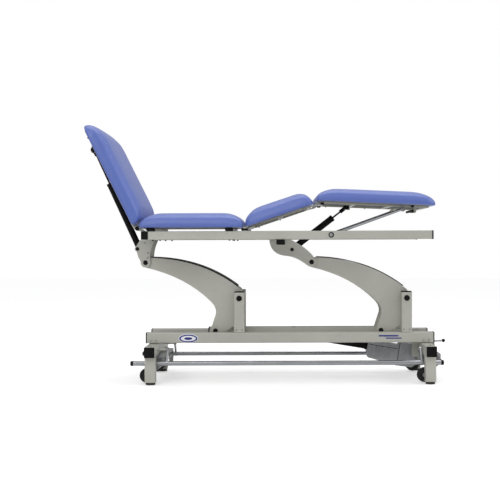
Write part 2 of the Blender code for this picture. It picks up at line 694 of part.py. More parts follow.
def make_top_rail(side_name, side, carrier):
    """A side rail with the thigh hinge's lug and the strut's pin welded on."""
    def at(point):
        return local(point, carrier_point())

    low = (min(side * TOP_RAIL_Y[0], side * TOP_RAIL_Y[1]), TOP_RAIL_Z[0] - carrier_point()[1])
    high = (max(side * TOP_RAIL_Y[0], side * TOP_RAIL_Y[1]), TOP_RAIL_Z[1] - carrier_point()[1])
    rail = square_tube(f"top_rail_{side_name}", low, high, TOP_RAIL_X[0] - carrier_point()[0],
                       TOP_RAIL_X[1] - carrier_point()[0], "X", 0.0025)
    hinge = at(THIGH_HINGE)
    weld = TOP_RAIL_Z[1] - 0.0012 - carrier_point()[1]
    lug = arc(hinge, 0.008, -20, 200, 10) + [(hinge[0] - 0.012, weld), (hinge[0] + 0.012, weld)]
    ear = plate("lug", [lug], *sorted((side * 0.262, side * 0.278)))
    hinge_pin = rod("pin", hinge, HINGE_PIN_RADIUS, *sorted((side * 0.270, side * 0.2085)), "Y", 16)
    strut = at(STRUT_FOOT)
    strut_pin = rod("strut_pin", strut, 0.006, *sorted((side * 0.213, side * 0.2565)), "Y", 16)
    strut_head = rod("strut_head", strut, 0.012, *sorted((side * 0.2840, side * 0.2875)))
    join(rail, ear, hinge_pin, strut_pin, strut_head)
    place(rail, carrier, PAINT)


def carrier_point():
    """The head arm's top pivot, which carries the whole top frame."""
    return POST_X[0] + ARM_TO_TOP[0], LIFT_PIVOT_Z + ARM_TO_TOP[1]


def cross_tube(name, span_x, span_z, wall=0.0025):
    """A tube across the top frame, between the outer faces of its rails."""
    low = local((span_x[0], span_z[0]), carrier_point())
    high = local((span_x[1], span_z[1]), carrier_point())
    return square_tube(name, low, high, -TOP_RAIL_Y[1], TOP_RAIL_Y[1], "Y", wall)


def make_top_frame(carrier):
    """Rails, cross tubes and the blades that hang on the lift arms."""
    for side_name, side in SIDES.items():
        make_top_rail(side_name, side, carrier)
    head_tube = cross_tube("head_cross_tube", HEAD_TUBE_X, TOP_RAIL_Z)
    hinge = local(BACK_HINGE, carrier_point())
    foot = local((-0.674, TOP_RAIL_Z[1] - 0.0012), carrier_point())
    back = local((-0.692, TOP_RAIL_Z[1] - 0.0012), carrier_point())
    lug = arc(hinge, 0.010, 60, 255, 10) + [back, foot]
    extras = []
    for side in SIDES.values():
        extras.append(plate("lug", [lug], *sorted((side * 0.238, side * 0.248))))
        extras.append(rod("pin", hinge, HINGE_PIN_RADIUS, *sorted((side * 0.243, side * 0.2085)),
                          "Y", 16))
        extras.append(rod("cap", hinge, 0.0085, *sorted((side * 0.247, side * 0.258)), "Y", 16))
    join(head_tube, *extras)
    place(head_tube, carrier, PAINT)
    place(cross_tube("mid_cross_tube", MID_TUBE_X, MID_TUBE_Z), carrier, PAINT)
    for end, span in zip(("head", "foot"), SEAT_TUBE_X):
        place(cross_tube(f"seat_cross_tube_{end}", span, SEAT_TUBE_Z, 0.002), carrier, PAINT)
    make_arm_bracket("arm_bracket_head", bracket_head_outline(), carrier_point(),
                     BACK_SPRING_FOOT, 0.006, carrier)
    foot_pin = (POST_X[1] + ARM_TO_TOP[0], LIFT_PIVOT_Z + ARM_TO_TOP[1])
    reach = local(foot_pin, carrier_point())
    foot_carrier = pivot("foot_arm_pivot", *reach, parent=carrier)
    make_arm_bracket("arm_bracket_foot", bracket_foot_outline(), foot_pin,
                     LEG_SPRING_FOOT, 0.006, foot_carrier)


# ---------------------------------------------------------------- sections of the top

def cushion(name, span, base, top, rolls, parent):
    """A pad: flat underside, rolled ends, soft side edges."""
    left, right = span
    rise = top - base
    tuck = 0.010
    outline = [(left + tuck, base), (right - tuck, base)]
    for index in range(1, 7):
        angle = math.radians(90 * index / 6)
        outline.append((right - rolls[1] * (1 - math.cos(angle)),
                        base + tuck + (rise - tuck) * math.sin(angle)))
    for index in range(6, 0, -1):
        angle = math.radians(90 * index / 6)
        outline.append((left + rolls[0] * (1 - math.cos(angle)),
                        base + tuck + (rise - tuck) * math.sin(angle)))
    pad = plate(name, [outline], -PAD_HALF_WIDTH, PAD_HALF_WIDTH)
    soften = pad.modifiers.new("Soft edges", "BEVEL")
    soften.width = 0.016
    soften.segments = 3
    soften.angle_limit = math.radians(62)
    place(pad, parent, VINYL)
    return pad


def ladder(name, span, heights, outer, crossings):
    """A section frame: two side bars and cross bars, cut from one outline with windows."""
    low_x, high_x = span
    loops = [rectangle((low_x, -outer), (high_x, outer))]
    edges = sorted(crossings)
    for index, (start, stop) in enumerate(zip(edges[:-1], edges[1:])):
        inner = outer - FRAME_BAR - 0.0004 * index
        loops.append(rectangle((start + FRAME_BAR, -inner), (stop, inner)))
    return plate(name, loops, *heights, "Z")


def make_backrest(carrier):
    """Backrest frame on the head hinge, its cushion, gas spring and release bar."""
    hinge_at = local(BACK_HINGE, carrier_point())
    hinge = pivot("backrest_hinge", *hinge_at, tilt=BACK_ANGLE, parent=carrier)
    heights = (-0.0183, -0.0113)
    frame = ladder("backrest_frame", (-0.522, -0.012), heights, 0.232,
                   (-0.522, -0.359, -0.196, -0.034))
    extras = []
    for side in SIDES.values():
        span = sorted((side * 0.2103, side * 0.2317))
        ear = [(-0.018, heights[0] + 0.0005), (-0.010, heights[0] + 0.0005)]
        ear += arc((0, 0), 0.0095, -80, 130, 8) + [(-0.0100, 0.0012), (-0.0180, 0.0012)]
        extras.append(plate("ear", [ear], *span))
        bracket = [(-0.4445, -0.013), (-0.4445, -0.034)]
        bracket += arc(BACK_SPRING_HEAD, 0.0150, -10, -150, 6)
        bracket += [(-0.4985, -0.034), (-0.4995, -0.013)]
        extras.append(plate("lug", [bracket], *sorted((side * 0.010, side * 0.015))))
    extras.append(rod("spring_pin", BACK_SPRING_HEAD, 0.004, -0.0155, 0.0155, "Y", 12))
    extras.append(rod("lever_pin", BACK_RELEASE_HUB, 0.004, -0.0155, 0.0155, "Y", 12))
    extras.append(box("lug_seat", (-0.481, -0.214, heights[0] + 0.001),
                      (-0.459, 0.214, heights[1] - 0.001)))
    join(frame, *extras)
    for side in SIDES.values():
        cut(frame, hole((0, 0), HINGE_PIN_RADIUS + CLEARANCE, *sorted((side * 0.20, side * 0.24))))
    place(frame, hinge, PAINT)
    cushion("backrest_cushion", (-0.532, -0.020), -0.0110, 0.060, (0.070, 0.060), hinge)
    make_release_bar("backrest_release_bar", BACK_RELEASE_HUB, (-0.018, -0.005), hinge)
    make_back_spring(carrier)


def make_release_bar(name, hub, reach, parent):
    """A grip bar on a short lever that frees a gas spring."""
    fulcrum = pivot(f"{name}_pivot", *hub, parent=parent)
    lever = plate(name, [capsule((0, 0), reach, 0.0078, 0.0065), circle((0, 0), 0.0045, 12)],
                  -0.008, 0.008)
    grip = rod("grip", reach, 0.006, -0.110, 0.110, "Y", 16)
    join(lever, grip)
    place(lever, fulcrum, PLASTIC)


def make_spring_cylinder(name, heading, start, end, bore_end, parent):
    """A gas spring's pressure tube: eye, tube and open mouth; heading is its X direction."""
    eye = plate(name, [capsule((0, 0), (heading * (start + 0.008), 0), 0.0115, 0.0095)],
                -0.008, 0.008)
    body = rod("body", (0, 0), SPRING_RADIUS, *sorted((heading * start, heading * end)), "X")
    join(eye, body)
    cut(eye, hole((0, 0), 0.006 + CLEARANCE))
    cut(eye, rod("bore", (0, 0), 0.0068, *sorted((heading * bore_end, heading * (end + 0.01))), "X"))
    place(eye, parent, PLASTIC)


def make_spring_rod(name, heading, inner, neck, reach, eye_radius, eye_bore, parent):
    """A gas spring's piston rod with the eye that meets its upper bracket."""
    centre = (heading * reach, 0)
    piston = rod(name, (0, 0), SPRING_ROD_RADIUS,
                 *sorted((heading * inner, heading * (neck + 0.004))), "X", 14)
    collar = rod("collar", (0, 0), 0.0095,
                 *sorted((heading * neck, heading * (reach - eye_bore - 0.001))), "X", 16)
    eye = plate("eye", [circle(centre, eye_radius), circle(centre, eye_bore)], -0.007, 0.007)
    join(piston, collar, eye)
    cut(piston, rod("clear", centre, eye_bore, -0.02, 0.02))
    place(piston, parent, PLASTIC)


def make_back_spring(carrier):
    """The long gas spring behind the backrest."""
    foot = local(BACK_SPRING_FOOT, carrier_point())
    angle = math.radians(BACK_ANGLE)
    along, above = BACK_SPRING_HEAD
    head = (BACK_HINGE[0] + along * math.cos(angle) + above * math.sin(angle),
            BACK_HINGE[1] - along * math.sin(angle) + above * math.cos(angle))
    run = local(head, BACK_SPRING_FOOT)
    lean = math.degrees(math.atan2(run[1], -run[0]))
    spring = pivot("backrest_spring_pivot", *foot, tilt=lean, parent=carrier)
    make_spring_cylinder("backrest_spring_cylinder", -1, 0.018, 0.355, 0.045, spring)
    make_spring_rod("backrest_spring_rod", -1, 0.150, 0.508, math.hypot(*run), 0.017, 0.0135, spring)


def make_seat(carrier):
    """The fixed seat cushion on its two cross tubes."""
    span = [value - carrier_point()[0] for value in SEAT_X]
    base, top = [value - carrier_point()[1] for value in SEAT_Z]
    cushion("seat_cushion", span, base, top, (0.085, 0.080), carrier)


def make_thigh(carrier):
    """Thigh frame and cushion; returns the pivot that the leg section hangs on."""
    hinge_at = local(THIGH_HINGE, carrier_point())
    hinge = pivot("thigh_hinge", *hinge_at, tilt=-THIGH_ANGLE, parent=carrier)
    angle = math.radians(THIGH_ANGLE)
    knee = (LEG_HINGE_OFFSET[0] * math.cos(angle) + LEG_HINGE_OFFSET[1] * math.sin(angle),
            -LEG_HINGE_OFFSET[0] * math.sin(angle) + LEG_HINGE_OFFSET[1] * math.cos(angle))
    heights = (-0.004, 0.0040)
    frame = ladder("thigh_frame", (0.014, 0.332), heights, 0.232, (0.022, 0.166, 0.310))
    extras = []
    for side in SIDES.values():
        span = sorted((side * 0.2103, side * 0.2317))
        ear = [(0.021, -0.0035), (0.021, 0.0035), (0.010, 0.0035)] + arc((0, 0), 0.0095, 20, 270, 8)
        extras.append(plate("ear", [ear], *span))
        tongue = [(0.325, heights[0] + 0.0005), (0.325, heights[1] - 0.001)]
        tongue += [(knee[0] - 0.012, heights[1] - 0.003)]
        tongue += arc(knee, 0.0095, 75, -90, 8)
        extras.append(plate("tongue", [tongue], *span))
        extras.append(rod("knee_pin", knee, HINGE_PIN_RADIUS - 0.001,
                          *sorted((side * 0.182, side * 0.225)), "Y", 16))
    join(frame, *extras)
    cut(frame, hole((0, 0), HINGE_PIN_RADIUS + CLEARANCE))
    place(frame, hinge, PAINT)
    cushion("thigh_cushion", (0.009, 0.340), 0.0043, 0.0743, (0.080, 0.056), hinge)
    return pivot("leg_hinge", *knee, tilt=THIGH_ANGLE + LEG_TILT, parent=hinge)


def make_leg_section(hinge):
    """Leg frame and cushion with the brackets of its struts, spring and release bar."""
    heights = (0.0020, 0.0100)
    frame = ladder("leg_frame", (0.006, 0.530), heights, 0.207, (0.014, 0.165, 0.337, 0.508))
    extras = []
    for side in SIDES.values():
        span = sorted((side * 0.1853, side * 0.2067))
        nose = [(0.022, heights[0] + 0.0005), (0.022, heights[1] - 0.0005)]
        nose += arc((0, 0), 0.0092, 80, 270, 8)
        extras.append(plate("nose", [nose], *span))
        extras.append(rod("strut_pin", STRUT_HEAD, 0.005, *sorted((side * 0.200, side * 0.231)),
                          "Y", 16))
        strut_lug = rectangle((0.3955, -0.0160), (0.4140, 0.0060))
        extras.append(plate("strut_lug", [strut_lug], *sorted((side * 0.1995, side * 0.2065))))
        ears = rectangle((LEG_SPRING_HEAD[0] - 0.010, -0.0165), (0.170, 0.0070))
        extras.append(plate("spring_lug", [ears], *sorted((side * 0.012, side * 0.017))))
        lug = [(0.4815, -0.0160), (0.4965, -0.0160), (0.4965, 0.0025), (0.512, 0.0025),
               (0.512, 0.0060), (0.4815, 0.0060)]
        extras.append(plate("lever_lug", [lug], *sorted((side * 0.010, side * 0.015))))
    extras.append(rod("spring_pin", LEG_SPRING_HEAD, 0.0045, -0.0165, 0.0165, "Y", 12))
    extras.append(rod("lever_pin", (0.489, -0.010), 0.004, -0.0145, 0.0145, "Y", 12))
    join(frame, *extras)
    for side in SIDES.values():
        cut(frame, hole((0, 0), HINGE_PIN_RADIUS - 0.001 + CLEARANCE,
                        *sorted((side * 0.18, side * 0.2085))))
    place(frame, hinge, PAINT)
    cushion("leg_cushion", (-0.007, 0.553), 0.0103, 0.0703, (0.080, 0.095), hinge)
    make_release_bar("leg_release_bar", (0.489, -0.010), (-0.022, -0.002), hinge)


def world_of_leg(point):
    """A point of the leg section, in base coordinates at rest."""
    knee = (THIGH_HINGE[0] + LEG_HINGE_OFFSET[0], THIGH_HINGE[1] + LEG_HINGE_OFFSET[1])
    angle = math.radians(LEG_TILT)
    return (knee[0] + point[0] * math.cos(angle) + point[1] * math.sin(angle),
            knee[1] - point[0] * math.sin(angle) + point[1] * math.cos(angle))


def make_leg_supports(carrier):
    """The two struts that keep the leg section level, and its gas spring."""
    run = local(world_of_leg(STRUT_HEAD), STRUT_FOOT)
    foot = local(STRUT_FOOT, carrier_point())
    lean = -math.degrees(math.atan2(run[1], run[0]))
    length = math.hypot(*run)
    for side_name, side in SIDES.items():
        hub = pivot(f"leg_strut_pivot_{side_name}", *foot, tilt=lean, parent=carrier)
        strut = rod(f"leg_strut_{side_name}", (side * STRUT_Y, 0), STRUT_RADIUS, 0.0, length, "X", 16)
        span = sorted((side * (STRUT_Y - 0.006), side * (STRUT_Y + 0.006)))
        ends = [rod("eye", (0, 0), 0.0105, *span), rod("eye", (length, 0), 0.0125, *span)]
        join(strut, *ends)
        cut(strut, hole((0, 0), 0.006 + CLEARANCE), hole((length, 0), 0.0088))
        place(strut, hub, CHROME)
    run = local(world_of_leg(LEG_SPRING_HEAD), LEG_SPRING_FOOT)
    foot = local(LEG_SPRING_FOOT, carrier_point())
    lean = -math.degrees(math.atan2(run[1], run[0]))
    spring = pivot("leg_spring_pivot", *foot, tilt=lean, parent=carrier)
    make_spring_cylinder("leg_spring_cylinder", 1, 0.018, 0.256, 0.092, spring)
    make_spring_rod("leg_spring_rod", 1, 0.142, 0.302, math.hypot(*run), 0.0102, 0.0074, spring)


# ---------------------------------------------------------------- assembly

def main():
    """Build the table at the pose it rests in."""
    origin = pivot("table_origin", ORIGIN_SHIFT, 0)
    make_base(origin)
    make_actuator_bracket(origin)
    make_castors(origin)
    make_pedal(origin)
    make_foot_bars(origin)
    arms = {}
    for end, x in zip(("head", "foot"), POST_X):
        arms[end] = pivot(f"lift_pivot_{end}", x, LIFT_PIVOT_Z, parent=origin)
        make_lift_arm(end, arms[end])
    tie = pivot("tie_pivot", *ARM_TO_TIE, parent=arms["head"])
    make_tie_bar(tie)
    make_actuator(origin)
    carrier = pivot("top_frame_pivot", *ARM_TO_TOP, parent=arms["head"])
    make_top_frame(carrier)
    make_seat(carrier)
    make_backrest(carrier)
    leg_hinge = make_thigh(carrier)
    make_leg_section(leg_hinge)
    make_leg_supports(carrier)


main()
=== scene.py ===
"""The exam table's looks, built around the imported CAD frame.

Lengths are metres in the row frame: +X towards the foot end, -Y the side that the camera
faces, +Z up.  Numbers along X are measured from the middle of the base and moved by SHIFT.
"""
import json
import math

import bmesh
import bpy
from mathutils import Matrix, Vector


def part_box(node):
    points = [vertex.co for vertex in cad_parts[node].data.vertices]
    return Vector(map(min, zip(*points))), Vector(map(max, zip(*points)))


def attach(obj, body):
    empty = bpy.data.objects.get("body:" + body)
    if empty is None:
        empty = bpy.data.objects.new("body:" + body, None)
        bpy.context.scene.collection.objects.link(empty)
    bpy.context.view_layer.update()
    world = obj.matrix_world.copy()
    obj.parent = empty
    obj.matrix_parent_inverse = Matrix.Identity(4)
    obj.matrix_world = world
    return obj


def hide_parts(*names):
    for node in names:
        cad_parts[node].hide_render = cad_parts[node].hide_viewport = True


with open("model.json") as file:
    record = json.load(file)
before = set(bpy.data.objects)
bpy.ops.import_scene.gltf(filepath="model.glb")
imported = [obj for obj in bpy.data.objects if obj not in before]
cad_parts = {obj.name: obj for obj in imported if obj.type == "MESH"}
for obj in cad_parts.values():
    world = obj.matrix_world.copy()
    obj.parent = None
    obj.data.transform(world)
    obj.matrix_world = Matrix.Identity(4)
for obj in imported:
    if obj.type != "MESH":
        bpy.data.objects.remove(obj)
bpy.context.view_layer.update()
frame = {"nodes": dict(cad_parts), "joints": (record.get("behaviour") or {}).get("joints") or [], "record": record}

JOINTS = {joint["name"]: joint for joint in frame["joints"]}
RAIL_LOW, RAIL_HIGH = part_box("base_rail_right")
SHIFT = (RAIL_LOW.x + RAIL_HIGH.x) / 2 - 0.001

BACK_TILT = 63.6
THIGH_TILT = -18.5
LEG_TILT = 2.6

# Places on the frame, measured like every X from the middle of the base.
SIDES = (-1, 1)
LEG_X = (-0.6565, 0.6565)
LEG_Y = 0.258
POST_X = (-0.244, 0.564)
POST_FACE = 0.1351
LIFT_PIN_Z = 0.397
TOP_RAIL_Y = (0.255, 0.285)
TOP_RAIL_Z = (0.680, 0.720)
BADGE_SPOT = (-0.4893, 0.2048)
BACK_SPRING_HEAD = (-0.4620, -0.0455)
LEG_SPRING_HEAD = (0.1497, -0.0055)


def hinge_frame(joint, tilt):
    """The local axes of a section: origin on its hinge, turned about +Y by tilt degrees."""
    origin = Vector(JOINTS[joint]["pos_m"])
    return Matrix.Translation(origin) @ Matrix.Rotation(math.radians(tilt), 4, "Y")


BASE = Matrix.Translation((SHIFT, 0, 0))
BACK = hinge_frame("recline", BACK_TILT)
THIGH = hinge_frame("thigh_raise", THIGH_TILT)
LEG = hinge_frame("leg_bend", LEG_TILT)


# ---------------------------------------------------------------- materials

def srgb(red, green, blue):
    """A linear colour from 0-255 display values."""
    def linear(value):
        value /= 255
        return value / 12.92 if value <= 0.04045 else ((value + 0.055) / 1.055) ** 2.4
    return linear(red), linear(green), linear(blue)


class Graph:
    """A material's node tree with short calls for the nodes used here."""

    def __init__(self, name):
        self.material = bpy.data.materials.new(name)
        self.material.use_nodes = True
        self.tree = self.material.node_tree
        self.shader = self.tree.nodes["Principled BSDF"]
        self.coords = self.tree.nodes.new("ShaderNodeTexCoord").outputs["Object"]

    def node(self, kind, **values):
        """A node with some of its properties set."""
        made = self.tree.nodes.new(kind)
        for key, value in values.items():
            setattr(made, key, value)
        return made

    def link(self, source, target):
        """Join an output to an input."""
        self.tree.links.new(source, target)

    def stretched(self, scale):
        """Object coordinates scaled differently along X, Y and Z."""
        mapping = self.node("ShaderNodeMapping")
        mapping.inputs["Scale"].default_value = scale
        self.link(self.coords, mapping.inputs["Vector"])
        return mapping.outputs["Vector"]

    def noise(self, scale, detail=3.0, vector=None):
        """A noise texture's factor."""
        made = self.node("ShaderNodeTexNoise")
        made.inputs["Scale"].default_value = scale
        made.inputs["Detail"].default_value = detail
        self.link(vector or self.coords, made.inputs["Vector"])
        return made.outputs["Fac"]

    def cells(self, scale, feature="F1"):
        """A Voronoi texture's distance."""
        made = self.node("ShaderNodeTexVoronoi", feature=feature)
        made.inputs["Scale"].default_value = scale
        self.link(self.coords, made.inputs["Vector"])
        return made.outputs["Distance"]

    def remap(self, source, low, high, start=0.3, stop=0.7):
        """A factor stretched from start..stop to low..high."""
        made = self.node("ShaderNodeMapRange")
        for key, value in zip(("From Min", "From Max", "To Min", "To Max"),
                              (start, stop, low, high)):
            made.inputs[key].default_value = value
        self.link(source, made.inputs["Value"])
        return made.outputs["Result"]

    def mix(self, factor, first, second):
        """A blend of two colours, each a tuple or an output."""
        made = self.node("ShaderNodeMix", data_type="RGBA")
        self.link(factor, made.inputs[0])
        for value, socket in ((first, made.inputs[6]), (second, made.inputs[7])):
            if isinstance(value, tuple):
                socket.default_value = (*value, 1.0)
            else:
                self.link(value, socket)
        return made.outputs[2]

    def bump(self, height, distance, strength=1.0, normal=None):
        """A bump normal from a height."""
        made = self.node("ShaderNodeBump")
        made.inputs["Strength"].default_value = strength
        made.inputs["Distance"].default_value = distance
        self.link(height, made.inputs["Height"])
        if normal is not None:
            self.link(normal, made.inputs["Normal"])
        return made.outputs["Normal"]

    def rounded(self, radius):
        """A normal that rounds hard edges."""
        made = self.node("ShaderNodeBevel", samples=4)
        made.inputs["Radius"].default_value = radius
        return made.outputs["Normal"]

    def height(self):
        """The Z coordinate."""
        made = self.node("ShaderNodeSeparateXYZ")
        self.link(self.coords, made.inputs["Vector"])
        return made.outputs["Z"]

    def finish(self, colour, roughness, normal, metallic=0.0, **inputs):
        """Wire the surface and return the material."""
        for value, key in ((colour, "Base Color"), (roughness, "Roughness"), (normal, "Normal")):
            socket = self.shader.inputs[key]
            if isinstance(value, bpy.types.NodeSocket):
                self.link(value, socket)
            elif isinstance(value, tuple):
                socket.default_value = (*value, 1.0)
            elif value is not None:
                socket.default_value = value
        self.shader.inputs["Metallic"].default_value = metallic
        for key, value in inputs.items():
            self.shader.inputs[key.replace("_", " ")].default_value = value
        return self.material


def make_paint():
    """Warm grey powder coat: slight orange peel, faint tone drift, scuffs."""
    graph = Graph("powder_coat_grey")
    drift = graph.remap(graph.noise(3.5, 4.0), 0.0, 1.0)
    tone = graph.mix(drift, srgb(178, 178, 168), srgb(190, 190, 181))
    scuff = graph.remap(graph.noise(38.0, 8.0, graph.stretched((0.35, 1.0, 1.0))), 0.0, 0.35,
                        0.66, 0.78)
    tone = graph.mix(scuff, tone, srgb(150, 149, 141))
    rough = graph.remap(graph.noise(22.0, 5.0), 0.30, 0.46)
    peel = graph.bump(graph.noise(650.0, 2.0), 0.00012, 0.5, graph.rounded(0.0016))
    return graph.finish(tone, rough, peel, 0.0, Coat_Weight=0.25, Coat_Roughness=0.25)


def make_vinyl():
    """Periwinkle coated upholstery: pebbled grain, soft mottling, low sheen."""
    graph = Graph("vinyl_periwinkle")
    drift = graph.remap(graph.noise(6.0, 3.0), 0.0, 1.0)
    tone = graph.mix(drift, srgb(86, 114, 188), srgb(97, 125, 198))
    pores = graph.remap(graph.cells(520.0), 0.0, 0.22, 0.0, 0.25)
    tone = graph.mix(pores, srgb(80, 100, 178), tone)
    fine = graph.remap(graph.cells(520.0), 0.0, 1.0, 0.0, 0.5)
    tone = graph.mix(fine, srgb(88, 110, 187), tone)
    rough = graph.remap(graph.noise(30.0, 4.0), 0.38, 0.52)
    grain = graph.bump(graph.cells(520.0), 0.00035, 0.5)
    folds = graph.bump(graph.noise(16.0, 3.0), 0.0022, 0.35, grain)
    return graph.finish(tone, rough, folds, 0.0, Specular_IOR_Level=0.6, Sheen_Weight=0.15,
                        Sheen_Roughness=0.4, Coat_Weight=0.30, Coat_Roughness=0.34)


def make_plastic(name, colour, rough_low, rough_high, grain=900.0, specular=0.5):
    """Moulded plastic with a fine spark-eroded texture."""
    graph = Graph(name)
    light = tuple(min(1.0, value * 1.25 + 0.004) for value in colour)
    tone = graph.mix(graph.remap(graph.noise(60.0, 4.0), 0.0, 1.0), colour, light)
    rough = graph.remap(graph.noise(40.0, 3.0), rough_low, rough_high)
    normal = graph.bump(graph.noise(grain, 2.0), 0.00015, 0.4, graph.rounded(0.0012))
    return graph.finish(tone, rough, normal, 0.0, Specular_IOR_Level=specular)


def make_rubber():
    """Black tread rubber, dusty towards the floor."""
    graph = Graph("rubber_black")
    dust = graph.remap(graph.height(), 0.5, 0.0, 0.0, 0.03)
    tone = graph.mix(dust, srgb(24, 24, 25), srgb(78, 76, 72))
    normal = graph.bump(graph.noise(420.0, 4.0), 0.0003, 0.5)
    return graph.finish(tone, graph.remap(graph.noise(25.0, 4.0), 0.62, 0.85), normal)


def make_chrome(name, colour, low, high):
    """Plated steel with faint polishing lines along the bar and fingerprints."""
    graph = Graph(name)
    tone = graph.mix(graph.remap(graph.noise(9.0, 4.0), 0.0, 1.0), colour,
                     tuple(value * 0.86 for value in colour))
    lines = graph.noise(900.0, 2.0, graph.stretched((0.02, 1.0, 1.0)))
    normal = graph.bump(lines, 0.00004, 0.35, graph.rounded(0.0008))
    rough = graph.remap(graph.noise(14.0, 5.0), low, high)
    return graph.finish(tone, rough, normal, 1.0)


def make_zinc():
    """Zinc-plated mechanism steel: cloudy, a little warm and a little blue."""
    graph = Graph("zinc_plate")
    cloud = graph.remap(graph.noise(26.0, 6.0), 0.0, 1.0)
    tone = graph.mix(cloud, srgb(176, 178, 184), srgb(148, 146, 138))
    rough = graph.remap(graph.noise(60.0, 5.0), 0.25, 0.5)
    normal = graph.bump(graph.noise(300.0, 3.0), 0.0001, 0.4, graph.rounded(0.0010))
    return graph.finish(tone, rough, normal, 0.95)


def make_cloth():
    """Black non-woven cloth on the undersides."""
    graph = Graph("underside_cloth")
    tone = graph.mix(graph.remap(graph.noise(300.0, 4.0), 0.0, 1.0), srgb(30, 30, 32),
                     srgb(52, 52, 55))
    normal = graph.bump(graph.noise(900.0, 4.0, graph.stretched((1.0, 0.25, 1.0))), 0.0004, 0.6)
    return graph.finish(tone, 0.9, normal, 0.0, Sheen_Weight=0.2)


def make_floor():
    """Plain pale studio floor, lifted to the backdrop's white where it is seen directly."""
    graph = Graph("studio_floor")
    seen = graph.node("ShaderNodeLightPath").outputs["Is Camera Ray"]
    graph.link(graph.remap(seen, 0.0, 0.42, 0.0, 1.0), graph.shader.inputs["Emission Strength"])
    return graph.finish((0.82, 0.82, 0.82), 0.9, None, 0.0, Emission_Color=(1.0, 1.0, 1.0, 1.0),
                        Specular_IOR_Level=0.1)


PAINT = make_paint()
VINYL = make_vinyl()
BLACK = make_plastic("moulded_black", srgb(7, 7, 8), 0.5, 0.66, specular=0.15)
HOUSING = make_plastic("moulded_grey", srgb(150, 152, 155), 0.38, 0.55)
DARK = make_plastic("black_enamel", srgb(5, 5, 6), 0.45, 0.62, 300.0, 0.14)
RUBBER = make_rubber()
CHROME = make_chrome("chrome_plate", srgb(188, 190, 194), 0.14, 0.26)
STEEL = make_chrome("bright_steel", srgb(168, 170, 174), 0.24, 0.40)
ZINC = make_zinc()
CLOTH = make_cloth()
WHITE = make_plastic("badge_white", srgb(232, 234, 238), 0.25, 0.35)
BLUE = make_plastic("badge_blue", srgb(34, 44, 132), 0.25, 0.35)

SLOT_LOOKS = {
    "grey_paint": PAINT, "blue_vinyl": VINYL, "black_plastic": BLACK, "dark_steel": DARK,
    "black_rubber": RUBBER, "chrome": CHROME, "zinc_steel": ZINC, "grey_plastic": HOUSING,
}
LOOK_SLOTS = {look.name: name for name, look in SLOT_LOOKS.items()}
LOOK_SLOTS.update({STEEL.name: "zinc_steel", CLOTH.name: "black_plastic",
                   WHITE.name: "grey_plastic", BLUE.name: "blue_vinyl"})


def dress_cad_nodes():
    """Give each CAD node its finish."""
    slots = {part["node"]: part["material_slot"] for part in frame["record"]["subparts"]}
    for name, node in frame["nodes"].items():
        node.data.materials.clear()
        node.data.materials.append(SLOT_LOOKS[slots[name]])


# ---------------------------------------------------------------- piece building

